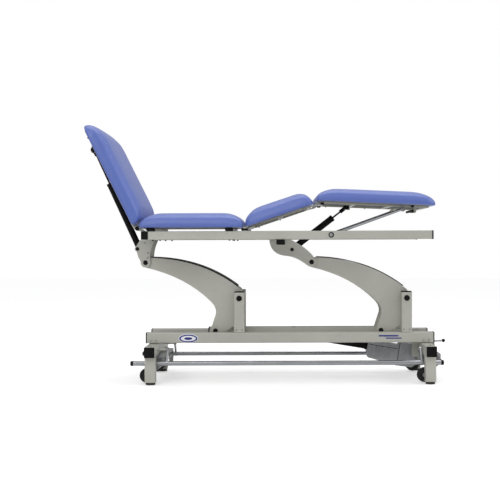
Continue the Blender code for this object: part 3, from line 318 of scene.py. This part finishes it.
class Piece:
    """One visual piece, made of simple solids that share a look and a body."""

    def __init__(self, name, body, look, matrix=BASE):
        self.name = name
        self.body = body
        self.look = look
        self.matrix = matrix
        self.shape = bmesh.new()

    def settle(self, verts, matrix, bevel, segments):
        """Place new geometry and round its hard edges."""
        bmesh.ops.transform(self.shape, matrix=self.matrix @ matrix, verts=verts)
        if bevel > 0:
            own = set(verts)
            edges = [edge for edge in self.shape.edges
                     if edge.verts[0] in own and edge.verts[1] in own
                     and len(edge.link_faces) == 2 and edge.calc_face_angle(0) > 0.7]
            bmesh.ops.bevel(self.shape, geom=edges, offset=bevel, segments=segments,
                            affect="EDGES", clamp_overlap=True)

    def box(self, low, high, bevel=0.0008, segments=2):
        """A box between two corners."""
        made = bmesh.ops.create_cube(self.shape, size=1.0)["verts"]
        low, high = Vector(low), Vector(high)
        size = high - low
        matrix = Matrix.Translation((low + high) / 2) @ Matrix.Diagonal((*size, 1.0))
        self.settle(made, matrix, bevel, segments)
        return self

    def disc(self, centre, axis, radius, depth, bevel=0.0006, sides=28, top=None):
        """A short cylinder or cone centred on a point, along X, Y or Z."""
        made = bmesh.ops.create_cone(self.shape, cap_ends=True, segments=sides, radius1=radius,
                                     radius2=radius if top is None else top, depth=depth)["verts"]
        turns = {"X": Matrix.Rotation(math.pi / 2, 4, "Y"), "Z": Matrix.Identity(4),
                 "Y": Matrix.Rotation(-math.pi / 2, 4, "X")}
        self.settle(made, Matrix.Translation(centre) @ turns[axis], bevel, 2)
        return self

    def dome(self, centre, radius, height):
        """A rounded cap standing out of a face across Y, its other half sunk into the part."""
        made = bmesh.ops.create_uvsphere(self.shape, u_segments=24, v_segments=12, radius=radius)
        matrix = Matrix.Translation(centre) @ Matrix.Diagonal((1, height / radius, 1, 1))
        self.settle(made["verts"], matrix, 0.0, 0)
        return self

    def socket_screw(self, centre, axis, side, radius=0.0045, depth=0.003):
        """A button-head screw with a hexagon recess, facing along an axis."""
        step = Vector((0, 0, 0))
        step["XYZ".index(axis)] = side
        middle = Vector(centre)
        self.disc(middle + step * depth / 2, axis, radius, depth, depth * 0.35, 20)
        self.ring(middle + step * (depth + 0.0001), axis, radius * 0.48, radius * 0.10, 6)
        return self

    def oval(self, centre, width, height, depth):
        """A thin oval plate that faces along Y; width and height are half sizes."""
        made = bmesh.ops.create_cone(self.shape, cap_ends=True, segments=48, radius1=1.0,
                                     radius2=1.0, depth=1.0)["verts"]
        turn = Matrix.Rotation(-math.pi / 2, 4, "X")
        matrix = Matrix.Translation(centre) @ Matrix.Diagonal((width, depth, height, 1.0)) @ turn
        self.settle(made, matrix, 0.0002, 1)
        return self

    def ring(self, centre, axis, radius, tube, sides=28, section=8):
        """A torus around an axis."""
        turns = {"X": Matrix.Rotation(math.pi / 2, 4, "Y"), "Z": Matrix.Identity(4),
                 "Y": Matrix.Rotation(-math.pi / 2, 4, "X")}
        loops = []
        for index in range(sides):
            angle = 2 * math.pi * index / sides
            loop = []
            for step in range(section):
                turn = 2 * math.pi * step / section
                reach = radius + tube * math.cos(turn)
                spot = (reach * math.cos(angle), reach * math.sin(angle), tube * math.sin(turn))
                loop.append(self.shape.verts.new(spot))
            loops.append(loop)
        for first, second in zip(loops, loops[1:] + loops[:1]):
            for step in range(section):
                after = (step + 1) % section
                self.shape.faces.new((first[step], second[step], second[after], first[after]))
        verts = [vert for loop in loops for vert in loop]
        matrix = self.matrix @ Matrix.Translation(centre) @ turns[axis]
        bmesh.ops.transform(self.shape, matrix=matrix, verts=verts)
        return self

    def sheet(self, line, half, thickness):
        """A bent strip across Y that follows a line of (x, z) points, thickness below it."""
        rows = []
        for x, z in line:
            rows.append([self.shape.verts.new(self.matrix @ Vector((x, y, z - drop)))
                         for y, drop in ((-half, 0), (half, 0), (half, thickness),
                                         (-half, thickness))])
        for first, second in zip(rows, rows[1:]):
            for step in range(4):
                after = (step + 1) % 4
                self.shape.faces.new((first[step], second[step], second[after], first[after]))
        for row in (rows[0], rows[-1]):
            self.shape.faces.new(row)
        return self

    def nut(self, centre, axis, radius, depth):
        """A hexagon nut with chamfered corners."""
        return self.disc(centre, axis, radius, depth, depth * 0.12, 6)

    def done(self):
        """Make the object, and let it ride on its body."""
        bmesh.ops.recalc_face_normals(self.shape, faces=self.shape.faces)
        mesh = bpy.data.meshes.new(self.name)
        self.shape.to_mesh(mesh)
        self.shape.free()
        mesh.materials.append(self.look)
        mesh.shade_smooth()
        mesh.set_sharp_from_angle(angle=math.radians(38))
        made = bpy.data.objects.new(self.name, mesh)
        bpy.context.scene.collection.objects.link(made)
        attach(made, self.body)
        return made


def new_object(name, mesh, look):
    """An object with one material, linked into the scene."""
    made = bpy.data.objects.new(name, mesh)
    bpy.context.scene.collection.objects.link(made)
    mesh.materials.clear()
    mesh.materials.append(look)
    mesh.shade_smooth()
    return made


# ---------------------------------------------------------------- cushions

PAD_HALF_WIDTH = 0.3075
PAD_VOXEL = 0.0068
SIM_FRAMES = 20
VALLEY_Y = 0.205


def end_roll(distance, length):
    """0..1: how much of the full thickness a pad has near a rolled end."""
    if distance >= length:
        return 1.0
    share = max(0.0, 1.0 - distance / length)
    return max(0.0, 1.0 - share ** 2.1) ** (1 / 2.1)


def pad_surface(span, base, top, rolls, corners, crown, valley):
    """A closed pad in its section's local axes, before the cover is inflated.

    A valley is a shallow channel along each side of the face, between two of its stitch lines.
    """
    columns, rows = 72, 64
    lip = 0.013
    wall = 0.24
    edge = 0.072
    low, high = span
    shape = bmesh.new()
    upper, lower = [], []
    for i in range(columns + 1):
        share = i / columns
        share = 0.5 - 0.5 * math.cos(math.pi * share)
        x = low + (high - low) * share
        ends = (x - low, high - x)
        half = PAD_HALF_WIDTH
        for distance, corner in zip(ends, corners):
            if distance < corner:
                half -= corner - math.sqrt(max(0.0, corner ** 2 - (corner - distance) ** 2))
        roll = min(end_roll(ends[0], rolls[0]), end_roll(ends[1], rolls[1]))
        upper_row, lower_row = [], []
        for j in range(rows + 1):
            side = -math.cos(math.pi * j / rows)
            y = half * side
            inward = half - abs(y)
            shoulder = 1.0
            if inward < edge:
                shoulder = wall + (1 - wall) * math.sqrt(max(0.0, 1 - (1 - inward / edge) ** 2))
            swell = crown * (1 - side * side)
            swell -= valley * math.exp(-((abs(y) - VALLEY_Y) / 0.014) ** 2) * roll ** 4
            z = base + lip + (top + swell - base - lip) * roll * shoulder
            z = base + (z - base) * (0.55 + 0.45 * min(1.0, (inward + 0.004) / 0.012))
            upper_row.append(shape.verts.new((x, y, z)))
            lower_row.append(shape.verts.new((x, y * 0.994, base)))
        upper.append(upper_row)
        lower.append(lower_row)
    for i in range(columns):
        for j in range(rows):
            shape.faces.new((upper[i][j], upper[i + 1][j], upper[i + 1][j + 1], upper[i][j + 1]))
            shape.faces.new((lower[i][j], lower[i][j + 1], lower[i + 1][j + 1], lower[i + 1][j]))
    for i in range(columns):
        for j in (0, rows):
            shape.faces.new((upper[i][j], lower[i][j], lower[i + 1][j], upper[i + 1][j]))
    for j in range(rows):
        for i in (0, columns):
            shape.faces.new((upper[i][j], upper[i][j + 1], lower[i][j + 1], lower[i][j]))
    bmesh.ops.recalc_face_normals(shape, faces=shape.faces)
    return shape


def remeshed(mesh, voxel):
    """The mesh rebuilt from even quads."""
    blank = bpy.data.objects.new("remesh", mesh)
    bpy.context.scene.collection.objects.link(blank)
    change = blank.modifiers.new("Voxels", "REMESH")
    change.mode = "VOXEL"
    change.voxel_size = voxel
    ease = blank.modifiers.new("Ease", "SMOOTH")
    ease.factor = 0.5
    ease.iterations = 3
    graph = bpy.context.evaluated_depsgraph_get()
    made = bpy.data.meshes.new_from_object(blank.evaluated_get(graph))
    bpy.data.objects.remove(blank)
    return made


def inflate(pad, base, give):
    """Blow the cover up against its own tension, with the underside held by its board.

    The foam inside holds the cover back: it yields less the further the cover has moved.
    """
    mesh = pad.data
    rest = [vert.co.copy() for vert in mesh.vertices]
    hold = pad.vertex_groups.new(name="hold")
    board = [vert.index for vert in mesh.vertices if vert.co.z < base + 0.004]
    hold.add(board, 1.0, "REPLACE")
    cloth = pad.modifiers.new("Cover", "CLOTH")
    settings = cloth.settings
    settings.quality = 4
    settings.mass = 0.25
    settings.tension_stiffness = 12.0
    settings.compression_stiffness = 12.0
    settings.shear_stiffness = 4.0
    settings.bending_stiffness = 0.4
    settings.use_pressure = True
    settings.uniform_pressure_force = 2.2
    settings.effector_weights.gravity = 0.0
    settings.vertex_group_mass = "hold"
    scene = bpy.context.scene
    for step in range(1, SIM_FRAMES + 1):
        scene.frame_set(step)
    graph = bpy.context.evaluated_depsgraph_get()
    blown = pad.evaluated_get(graph).to_mesh()
    for vert, start, moved in zip(mesh.vertices, rest, blown.vertices):
        shift = moved.co - start
        vert.co = start + shift * (give / (give + shift.length))
        vert.co.z = max(vert.co.z, base)
    pad.evaluated_get(graph).to_mesh_clear()
    pad.modifiers.remove(cloth)
    pad.vertex_groups.remove(hold)
    scene.frame_set(1)


def make_pad(name, node, body, matrix, span, base, top, rolls, corners, crown=0.004, valley=0.0):
    """An upholstered pad: shaped foam, inflated vinyl cover, cloth-covered board."""
    spare = 0.0015
    shape = pad_surface((span[0] - spare, span[1] + spare), base, top - spare, rolls, corners,
                        crown, valley)
    mesh = bpy.data.meshes.new(name)
    shape.to_mesh(mesh)
    shape.free()
    pad = new_object(name, remeshed(mesh, PAD_VOXEL), VINYL)
    bpy.data.meshes.remove(mesh)
    inflate(pad, base, 0.0028)
    pad.data.transform(matrix)
    refine = pad.modifiers.new("Refine", "SUBSURF")
    refine.levels = 1
    refine.render_levels = 1
    pad.data.shade_smooth()
    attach(pad, body)
    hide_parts(node)
    under = Piece(f"{name}_underside", body, CLOTH, matrix)
    under.box((span[0] + 0.030, -PAD_HALF_WIDTH + 0.022, base - 0.0002),
              (span[1] - 0.030, PAD_HALF_WIDTH - 0.022, base + 0.001), 0.0)
    under.done()
    return pad


def make_cushions():
    """The four pads of the top."""
    seat_low, seat_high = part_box("seat_cushion")
    make_pad("seat_pad", "seat_cushion", "top_frame", Matrix.Identity(4),
             (seat_low.x, seat_high.x), seat_low.z, seat_high.z, (0.110, 0.095), (0.016, 0.026))
    make_pad("backrest_pad", "backrest_cushion", "backrest", BACK,
             (-0.544, -0.020), -0.0110, 0.060, (0.125, 0.075), (0.070, 0.026), 0.006, 0.004)
    make_pad("thigh_pad", "thigh_cushion", "thigh_section", THIGH,
             (0.009, 0.340), 0.0043, 0.0743, (0.100, 0.058), (0.030, 0.030))
    make_pad("leg_pad", "leg_cushion", "leg_section", LEG,
             (-0.007, 0.553), 0.0103, 0.0703, (0.100, 0.120), (0.026, 0.050))


# ---------------------------------------------------------------- hardware

def inner(node):
    """A node's box in coordinates measured from the middle of the base."""
    low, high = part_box(node)
    return Vector((low.x - SHIFT, low.y, low.z)), Vector((high.x - SHIFT, high.y, high.z))


def make_tube_caps():
    """Push-in plastic caps on the open ends of the square tubes."""
    caps = Piece("base_tube_caps", "base", BLACK)
    for node in ("base_rail_right", "base_rail_left"):
        low, high = inner(node)
        for x, side in ((low.x, -1), (high.x, 1)):
            x0, x1 = sorted((x - side * 0.0035, x + side * 0.0030))
            caps.box((x0, low.y - 0.0005, low.z - 0.0005),
                     (x1, high.y + 0.0005, high.z + 0.0005), 0.0012)
    for node in ("base_crossbar_head", "base_crossbar_foot"):
        low, high = inner(node)
        middle = LEG_X[0] if "head" in node else LEG_X[1]
        for y, side in ((low.y, -1), (high.y, 1)):
            caps.box((middle - 0.0244, min(y, y + side * 0.0035), 0.1306),
                     (middle + 0.0244, max(y, y + side * 0.0035), 0.1794), 0.0015)
    for node in ("lift_post_head_right", "lift_post_head_left",
                 "lift_post_foot_right", "lift_post_foot_left"):
        low, high = inner(node)
        caps.box((low.x + 0.0004, low.y + 0.0004, high.z),
                 (high.x - 0.0004, high.y - 0.0004, high.z + 0.0045), 0.0016, 3)
    caps.done()

    caps = Piece("top_tube_caps", "top_frame", BLACK)
    for node in ("head_cross_tube", "mid_cross_tube", "seat_cross_tube_head", "seat_cross_tube_foot"):
        low, high = inner(node)
        if node == "head_cross_tube":
            low = Vector((-0.6960, -TOP_RAIL_Y[1], TOP_RAIL_Z[0]))
            high = Vector((-0.6630, TOP_RAIL_Y[1], TOP_RAIL_Z[1]))
        for y, side in ((low.y, -1), (high.y, 1)):
            caps.box((low.x + 0.0003, min(y, y + side * 0.004), low.z + 0.0003),
                     (high.x - 0.0003, max(y, y + side * 0.004), high.z - 0.0003), 0.0012)
    for node, side in (("top_rail_right", -1), ("top_rail_left", 1)):
        low, high = inner(node)
        near, far = sorted(side * y for y in TOP_RAIL_Y)
        caps.box((high.x - 0.0060, near - 0.0006, TOP_RAIL_Z[0] - 0.0006),
                 (high.x + 0.0020, far + 0.0006, TOP_RAIL_Z[1] + 0.0006), 0.0012)
    caps.done()

    caps = Piece("tie_bar_caps", "tie", BLACK)
    low, high = inner("tie_bar")
    for side in SIDES:
        for x, way in ((low.x, -1), (high.x, 1)):
            caps.box((min(x, x + way * 0.006), min(side * 0.0275, side * 0.0385), low.z + 0.0176),
                     (max(x, x + way * 0.006), max(side * 0.0275, side * 0.0385), high.z - 0.0002),
                     0.0015)
    caps.done()


def make_base_details():
    """Bolts, badge, stripe and levelling nuts of the base."""
    bolts = Piece("base_screws", "base", STEEL)
    for side in SIDES:
        face = side * POST_FACE
        for x in LEG_X:
            for step in (-0.013, 0.013):
                bolts.socket_screw((x + step, face, 0.195), "Y", side, 0.0042, 0.0024)
        for x in POST_X:
            for step in (-0.014, 0.014):
                bolts.socket_screw((x + step, face, 0.2455), "Y", side, 0.0040, 0.0024)
    for x in LEG_X:
        for side in SIDES:
            bolts.nut((x, side * LEG_Y, 0.0155), "Z", 0.0115, 0.006)
            bolts.socket_screw((x, side * LEG_Y, 0.1801), "Z", 1, 0.0050, 0.0028)
    bolts.done()

    pins = Piece("lift_pin_caps", "base", BLACK)
    for x in POST_X:
        for side in SIDES:
            pins.dome((x, side * 0.1390, LIFT_PIN_Z), 0.0128, 0.0035)
    pins.done()

    for name, look, width, height, lift in (
            ("base_badge_plate", WHITE, 0.0475, 0.0220, 0.0010),
            ("base_badge_ring", BLUE, 0.0440, 0.0192, 0.0014),
            ("base_badge_centre", WHITE, 0.0360, 0.0130, 0.0018),
            ("base_badge_spot", BLUE, 0.0190, 0.0066, 0.0022)):
        oval = Piece(name, "base", look)
        oval.oval((BADGE_SPOT[0], -0.1350 - lift / 2, BADGE_SPOT[1]), width, height, lift)
        oval.done()

    stripe = Piece("base_stripe", "base", BLUE)
    for x0, x1, z0, z1 in ((0.428, 0.522, 0.2115, 0.2185), (0.462, 0.538, 0.2010, 0.2062)):
        stripe.box((x0, -0.1359, z0), (x1, -0.1350, z1), 0.0003, 1)
    stripe.done()


def arm_back(inset=-0.0042, steps=24):
    """Points along an arm's upper edge, from its post pivot; a negative inset is above it."""
    start, control, end = (0.004, 0.043), (-0.185, 0.196), (-0.452, 0.1962)
    points = []
    for index in range(1, steps):
        t = index / steps
        weights = ((1 - t) ** 2, 2 * t * (1 - t), t * t)
        x, z = (sum(w * p[k] for w, p in zip(weights, (start, control, end))) for k in (0, 1))
        slope = Vector(((1 - t) * (control[0] - start[0]) + t * (end[0] - control[0]),
                        (1 - t) * (control[1] - start[1]) + t * (end[1] - control[1]))).normalized()
        points.append((x - slope.y * inset, z + slope.x * inset))
    return points


def make_lift_details():
    """Washers, hubs and screws on the arms and their brackets; a dark strip painted as shade on each arm's top."""
    head = Vector(JOINTS["top_level"]["pos_m"]) - Vector((SHIFT, 0, 0))
    reach = Vector(JOINTS["lift_foot_arm"]["pos_m"]) - Vector(JOINTS["lift"]["pos_m"])
    covers = Piece("top_pivot_covers", "top_frame", BLACK)
    for spot in (head, head + reach):
        for side in SIDES:
            covers.dome((spot.x, side * 0.0870, spot.z), 0.0115, 0.0035)
    for spot in ((-0.7395, 0.637), (0.0125, 0.631)):
        for side in SIDES:
            covers.disc((spot[0], side * 0.0868, spot[1]), "Y", 0.0085, 0.0036, 0.0012)
    covers.done()

    tie = Vector(JOINTS["lift_tie"]["pos_m"]) - Vector((SHIFT, 0, 0))
    post = Vector(JOINTS["lift"]["pos_m"]) - Vector((SHIFT, 0, 0))
    for end, body, step in (("head", "lift_head", Vector((0, 0, 0))), ("foot", "lift_foot", reach)):
        hubs = Piece(f"lift_arm_{end}_hubs", body, BLACK)
        for side in SIDES:
            spot = tie + step
            hubs.dome((spot.x, side * 0.0722, spot.z), 0.0118, 0.0042)
        hubs.done()
        # Painted shade: a thin dark sheet laid along each arm's top stands for the shaded inner face of the arm's
        # far side plate, not for a real cover part.
        painted_shade_strip = Piece(f"lift_arm_{end}_cover", body, DARK,
                      BASE @ Matrix.Translation(post + step))
        painted_shade_strip.sheet(arm_back(), 0.0718, 0.0036)
        painted_shade_strip.done()

    screws = Piece("top_frame_screws", "top_frame", STEEL)
    for side in SIDES:
        for x, z in ((-0.704, 0.6655), (-0.688, 0.617), (-0.690, 0.594)):
            screws.socket_screw((x, side * 0.0842, z), "Y", side, 0.0045, 0.0026)
    screws.done()
    bolts = Piece("top_rail_bolts", "top_frame", DARK)
    for side in SIDES:
        for x in (-0.6413, -0.6077, -0.2832, -0.2654):
            bolts.socket_screw((x, side * 0.270, 0.6799), "Z", -1, 0.0055, 0.0042)
    bolts.done()

    rings = Piece("strut_pivot_rings", "top_frame", DARK)
    foot = Vector(JOINTS["strut_swing_right"]["pos_m"]) - Vector((SHIFT, 0, 0))
    for side in SIDES:
        rings.ring((foot.x, side * 0.2868, foot.z), "Y", 0.0104, 0.0024, 32, 10)
    rings.done()
    studs = Piece("strut_pivot_studs", "top_frame", STEEL)
    for side in SIDES:
        studs.dome((foot.x, side * 0.2874, foot.z), 0.0076, 0.0018)
    studs.done()


def make_hinge_details():
    """Black hinge blocks, knee plates, knobs and screws of the sections."""
    back = Vector(JOINTS["recline"]["pos_m"]) - Vector((SHIFT, 0, 0))
    thigh = Vector(JOINTS["thigh_raise"]["pos_m"]) - Vector((SHIFT, 0, 0))
    blocks = Piece("hinge_blocks", "top_frame", BLACK)
    for side in SIDES:
        blocks.disc((back.x, side * 0.2535, back.z), "Y", 0.0098, 0.0140, 0.0022)
        y0, y1 = sorted((side * 0.2605, side * 0.2795))
        blocks.box((thigh.x - 0.0165, y0, 0.7203), (thigh.x + 0.0150, y1, thigh.z + 0.0025), 0.0025)
    blocks.done()

    knee = Piece("knee_hinge_plates", "thigh_section", STEEL, THIGH)
    local_knee = THIGH.inverted() @ Vector(JOINTS["leg_bend"]["pos_m"])
    for side in SIDES:
        knee.disc((local_knee.x, side * 0.2332, local_knee.z), "Y", 0.0085, 0.0030, 0.0009)
        knee.nut((local_knee.x, side * 0.2355, local_knee.z), "Y", 0.0062, 0.0028)
        for x in (0.030, 0.075, 0.290):
            knee.socket_screw((x, side * 0.2321, 0.0), "Y", side, 0.0028, 0.0020)
        for x in (0.060, 0.175):
            knee.socket_screw((x, side * 0.221, -0.0041), "Z", -1, 0.0048, 0.0040)
    knee.done()

    leg = Piece("leg_frame_screws", "leg_section", STEEL, LEG)
    for side in SIDES:
        for x in (0.060, 0.260, 0.500):
            leg.socket_screw((x, side * 0.196, 0.0019), "Z", -1, 0.0045, 0.0030)
        leg.disc((0.4048, side * 0.2320, -0.0089), "Y", 0.0078, 0.0030, 0.0010)
    leg.done()
    grips = Piece("knee_blocks", "leg_section", BLACK, LEG)
    for side in SIDES:
        y0, y1 = sorted((side * 0.1835, side * 0.2075))
        grips.box((0.0125, y0, -0.0045), (0.0345, y1, 0.0100), 0.0030)
        grips.disc((0.4497, side * 0.2225, 0.0060), "Y", 0.0066, 0.0300, 0.0022)
    grips.done()


def make_spring_details():
    """Seals on the gas springs' cylinders and the black clevises at their upper ends."""
    for name, body, joint, slide, mouth, sleeve in (
            ("backrest_spring_seal", "backrest_spring", "backrest_spring_swing",
             "backrest_spring_stroke", 0.355, 0.0151),
            ("leg_spring_seal", "leg_spring", "leg_spring_swing",
             "leg_spring_stroke", 0.256, 0.0151)):
        origin = Vector(JOINTS[joint]["pos_m"])
        along = Vector(JOINTS[slide]["axis"])
        turn = along.to_track_quat("Z", "Y").to_matrix().to_4x4()
        seal = Piece(name, body, BLACK, Matrix.Translation(origin) @ turn)
        seal.disc((0, 0, mouth - 0.005), "Z", sleeve + 0.0012, 0.012, 0.0018)
        seal.disc((0, 0, 0.024), "Z", sleeve + 0.0010, 0.010, 0.0018)
        seal.done()
    along, above = BACK_SPRING_HEAD
    clevis = Piece("backrest_spring_clevis", "backrest", BLACK, BACK)
    for side in SIDES:
        clevis.disc((along, side * 0.0162, above), "Y", 0.0135, 0.0022, 0.0008)
        clevis.dome((along, side * 0.0172, above), 0.0070, 0.0030)
    clevis.done()
    along, above = LEG_SPRING_HEAD
    clevis = Piece("leg_spring_clevis", "leg_section", BLACK, LEG)
    for side in SIDES:
        y0, y1 = sorted((side * 0.0173, side * 0.0192))
        clevis.box((0.1385, y0, -0.0150), (0.1640, y1, 0.0040), 0.0008)
        clevis.dome((along, side * 0.0190, above), 0.0070, 0.0030)
    clevis.done()


def make_castor_details():
    """Axle nuts and washers of the castors, end caps and screws of the foot bars."""
    for end in ("head", "foot"):
        origin = Vector(JOINTS[f"wheel_spin_{end}_right"]["pos_m"]) - Vector((SHIFT, 0, 0))
        nuts = Piece(f"castor_{end}_nuts", f"castors_{end}", STEEL)
        for side in SIDES:
            nuts.nut((origin.x, side * 0.2305, origin.z), "Y", 0.0090, 0.0048)
            nuts.disc((origin.x, side * 0.2335, origin.z), "Y", 0.0052, 0.0030, 0.0010)
        nuts.done()
    for side_name, side in (("right", -1), ("left", 1)):
        low, high = inner(f"foot_bar_{side_name}")
        caps = Piece(f"foot_bar_{side_name}_caps", f"foot_control_{side_name}", BLACK)
        for x, way in ((low.x, -1), (high.x, 1)):
            caps.disc((x - way * 0.006, side * 0.215, 0.095), "X", 0.0118, 0.016, 0.0025)
        caps.done()
        grips = Piece(f"foot_bar_{side_name}_screws", f"foot_control_{side_name}", STEEL)
        for x0, x1 in ((-0.587, -0.579), (0.618, 0.626)):
            for x, way in ((x0, -1), (x1, 1)):
                grips.disc((x + way * 0.0012, side * 0.165, 0.155), "X", 0.0095, 0.0022, 0.0006)
        grips.done()


def make_actuator_details():
    """Screws, ribs, seams and collars on the actuator."""
    pivot_at = Vector(JOINTS["actuator_swing"]["pos_m"])
    along = Vector(JOINTS["actuator_extend"]["axis"])
    tilt = math.atan2(along.z, -along.x)
    local = Matrix.Translation(pivot_at) @ Matrix.Rotation(tilt, 4, "Y")
    screws = Piece("actuator_screws", "actuator", STEEL, local)
    for side in SIDES:
        for x, z in ((-0.068, 0.036), (-0.068, -0.062), (-0.012, -0.060), (-0.012, 0.032),
                     (-0.094, 0.014), (-0.094, -0.060), (-0.222, 0.014), (-0.215, -0.046)):
            screws.socket_screw((x, side * 0.0401, z), "Y", side, 0.0040, 0.0022)
    screws.done()
    ribs = Piece("actuator_ribs", "actuator", HOUSING, local)
    for index in range(6):
        x = -0.120 - 0.014 * index
        for side in SIDES:
            y0, y1 = sorted((side * 0.0392, side * 0.0420))
            ribs.box((x - 0.003, y0, -0.048), (x + 0.003, y1, 0.000), 0.0010)
    ribs.done()
    seam = Piece("actuator_seam", "actuator", BLACK, local)
    for side in SIDES:
        y0, y1 = sorted((side * 0.0392, side * 0.0407))
        seam.box((-0.0815, y0, -0.0700), (-0.0785, y1, 0.0310), 0.0005)
        seam.box((-0.2280, y0, 0.0060), (-0.0850, y1, 0.0085), 0.0005)
    seam.box((-0.0815, -0.0385, -0.0752), (-0.0785, 0.0385, -0.0725), 0.0005)
    seam.done()
    collar = Piece("actuator_collar", "actuator", BLACK, local)
    collar.ring((-0.2405, 0, 0), "X", 0.0218, 0.0042, 32, 10)
    collar.ring((-0.4360, 0, 0), "X", 0.0215, 0.0030, 32, 10)
    collar.disc((-0.150, 0, -0.0680), "Z", 0.0075, 0.010, 0.0015)
    collar.done()


# ---------------------------------------------------------------- stage

def area_light(name, location, target, size, power):
    """A soft rectangular light aimed at a point."""
    lamp = bpy.data.lights.new(name, "AREA")
    lamp.shape = "RECTANGLE"
    lamp.size, lamp.size_y = size
    lamp.energy = power
    holder = bpy.data.objects.new(name, lamp)
    bpy.context.scene.collection.objects.link(holder)
    holder.location = location
    aim = Vector(target) - Vector(location)
    holder.rotation_euler = aim.to_track_quat("-Z", "Y").to_euler()


def make_world():
    """A white backdrop whose light is soft: dim at the horizon, brighter overhead."""
    world = bpy.data.worlds.new("studio")
    world.use_nodes = True
    tree = world.node_tree
    direction = tree.nodes.new("ShaderNodeTexCoord").outputs["Generated"]
    split = tree.nodes.new("ShaderNodeSeparateXYZ")
    tree.links.new(direction, split.inputs["Vector"])
    ramp = tree.nodes.new("ShaderNodeValToRGB")
    ramp.color_ramp.elements[0].position = 0.05
    ramp.color_ramp.elements[0].color = (0.28, 0.28, 0.29, 1.0)
    ramp.color_ramp.elements[1].position = 0.80
    ramp.color_ramp.elements[1].color = (0.80, 0.80, 0.80, 1.0)
    tree.links.new(split.outputs["Z"], ramp.inputs["Fac"])
    seen = tree.nodes.new("ShaderNodeLightPath").outputs["Is Camera Ray"]
    mix = tree.nodes.new("ShaderNodeMix")
    mix.data_type = "RGBA"
    tree.links.new(seen, mix.inputs[0])
    tree.links.new(ramp.outputs["Color"], mix.inputs[6])
    mix.inputs[7].default_value = (1.0, 1.0, 1.0, 1.0)
    tree.links.new(mix.outputs[2], tree.nodes["Background"].inputs["Color"])
    return world


def make_stage():
    """Floor, soft lights, white surroundings and the camera."""
    mesh = bpy.data.meshes.new("studio_floor")
    reach = 14.0
    mesh.from_pydata([(-reach, -reach, 0), (reach, -reach, 0), (reach, reach, 0),
                      (-reach, reach, 0)], [], [(0, 1, 2, 3)])
    mesh.materials.append(make_floor())
    floor = bpy.data.objects.new("studio_floor", mesh)
    bpy.context.scene.collection.objects.link(floor)
    floor.location.z = -0.0005

    bpy.context.scene.world = make_world()
    bpy.context.scene.view_settings.view_transform = "Standard"

    middle = (SHIFT - 0.05, 0, 0.65)
    area_light("key", (-1.4, -3.6, 2.9), middle, (2.6, 2.0), 47)
    area_light("fill", (3.7, -0.7, 2.5), middle, (2.2, 2.2), 40)
    area_light("top", (0.0, 0.6, 3.8), middle, (3.2, 2.0), 34)

    camera = bpy.data.cameras.new("camera")
    camera.sensor_fit = "HORIZONTAL"
    camera.sensor_width = 36.0
    camera.lens = 72.6
    camera.shift_x = -0.052
    camera.shift_y = -0.013
    camera.clip_end = 60.0
    holder = bpy.data.objects.new("camera", camera)
    bpy.context.scene.collection.objects.link(holder)
    holder.location = (SHIFT - 0.0655, -4.990, 0.661)
    holder.rotation_euler = (math.radians(90.0), math.radians(0.19), 0.0)
    bpy.context.scene.camera = holder


make_stage()
dress_cad_nodes()
make_cushions()
make_tube_caps()
make_base_details()
make_lift_details()
make_hinge_details()
make_spring_details()
make_castor_details()
make_actuator_details()
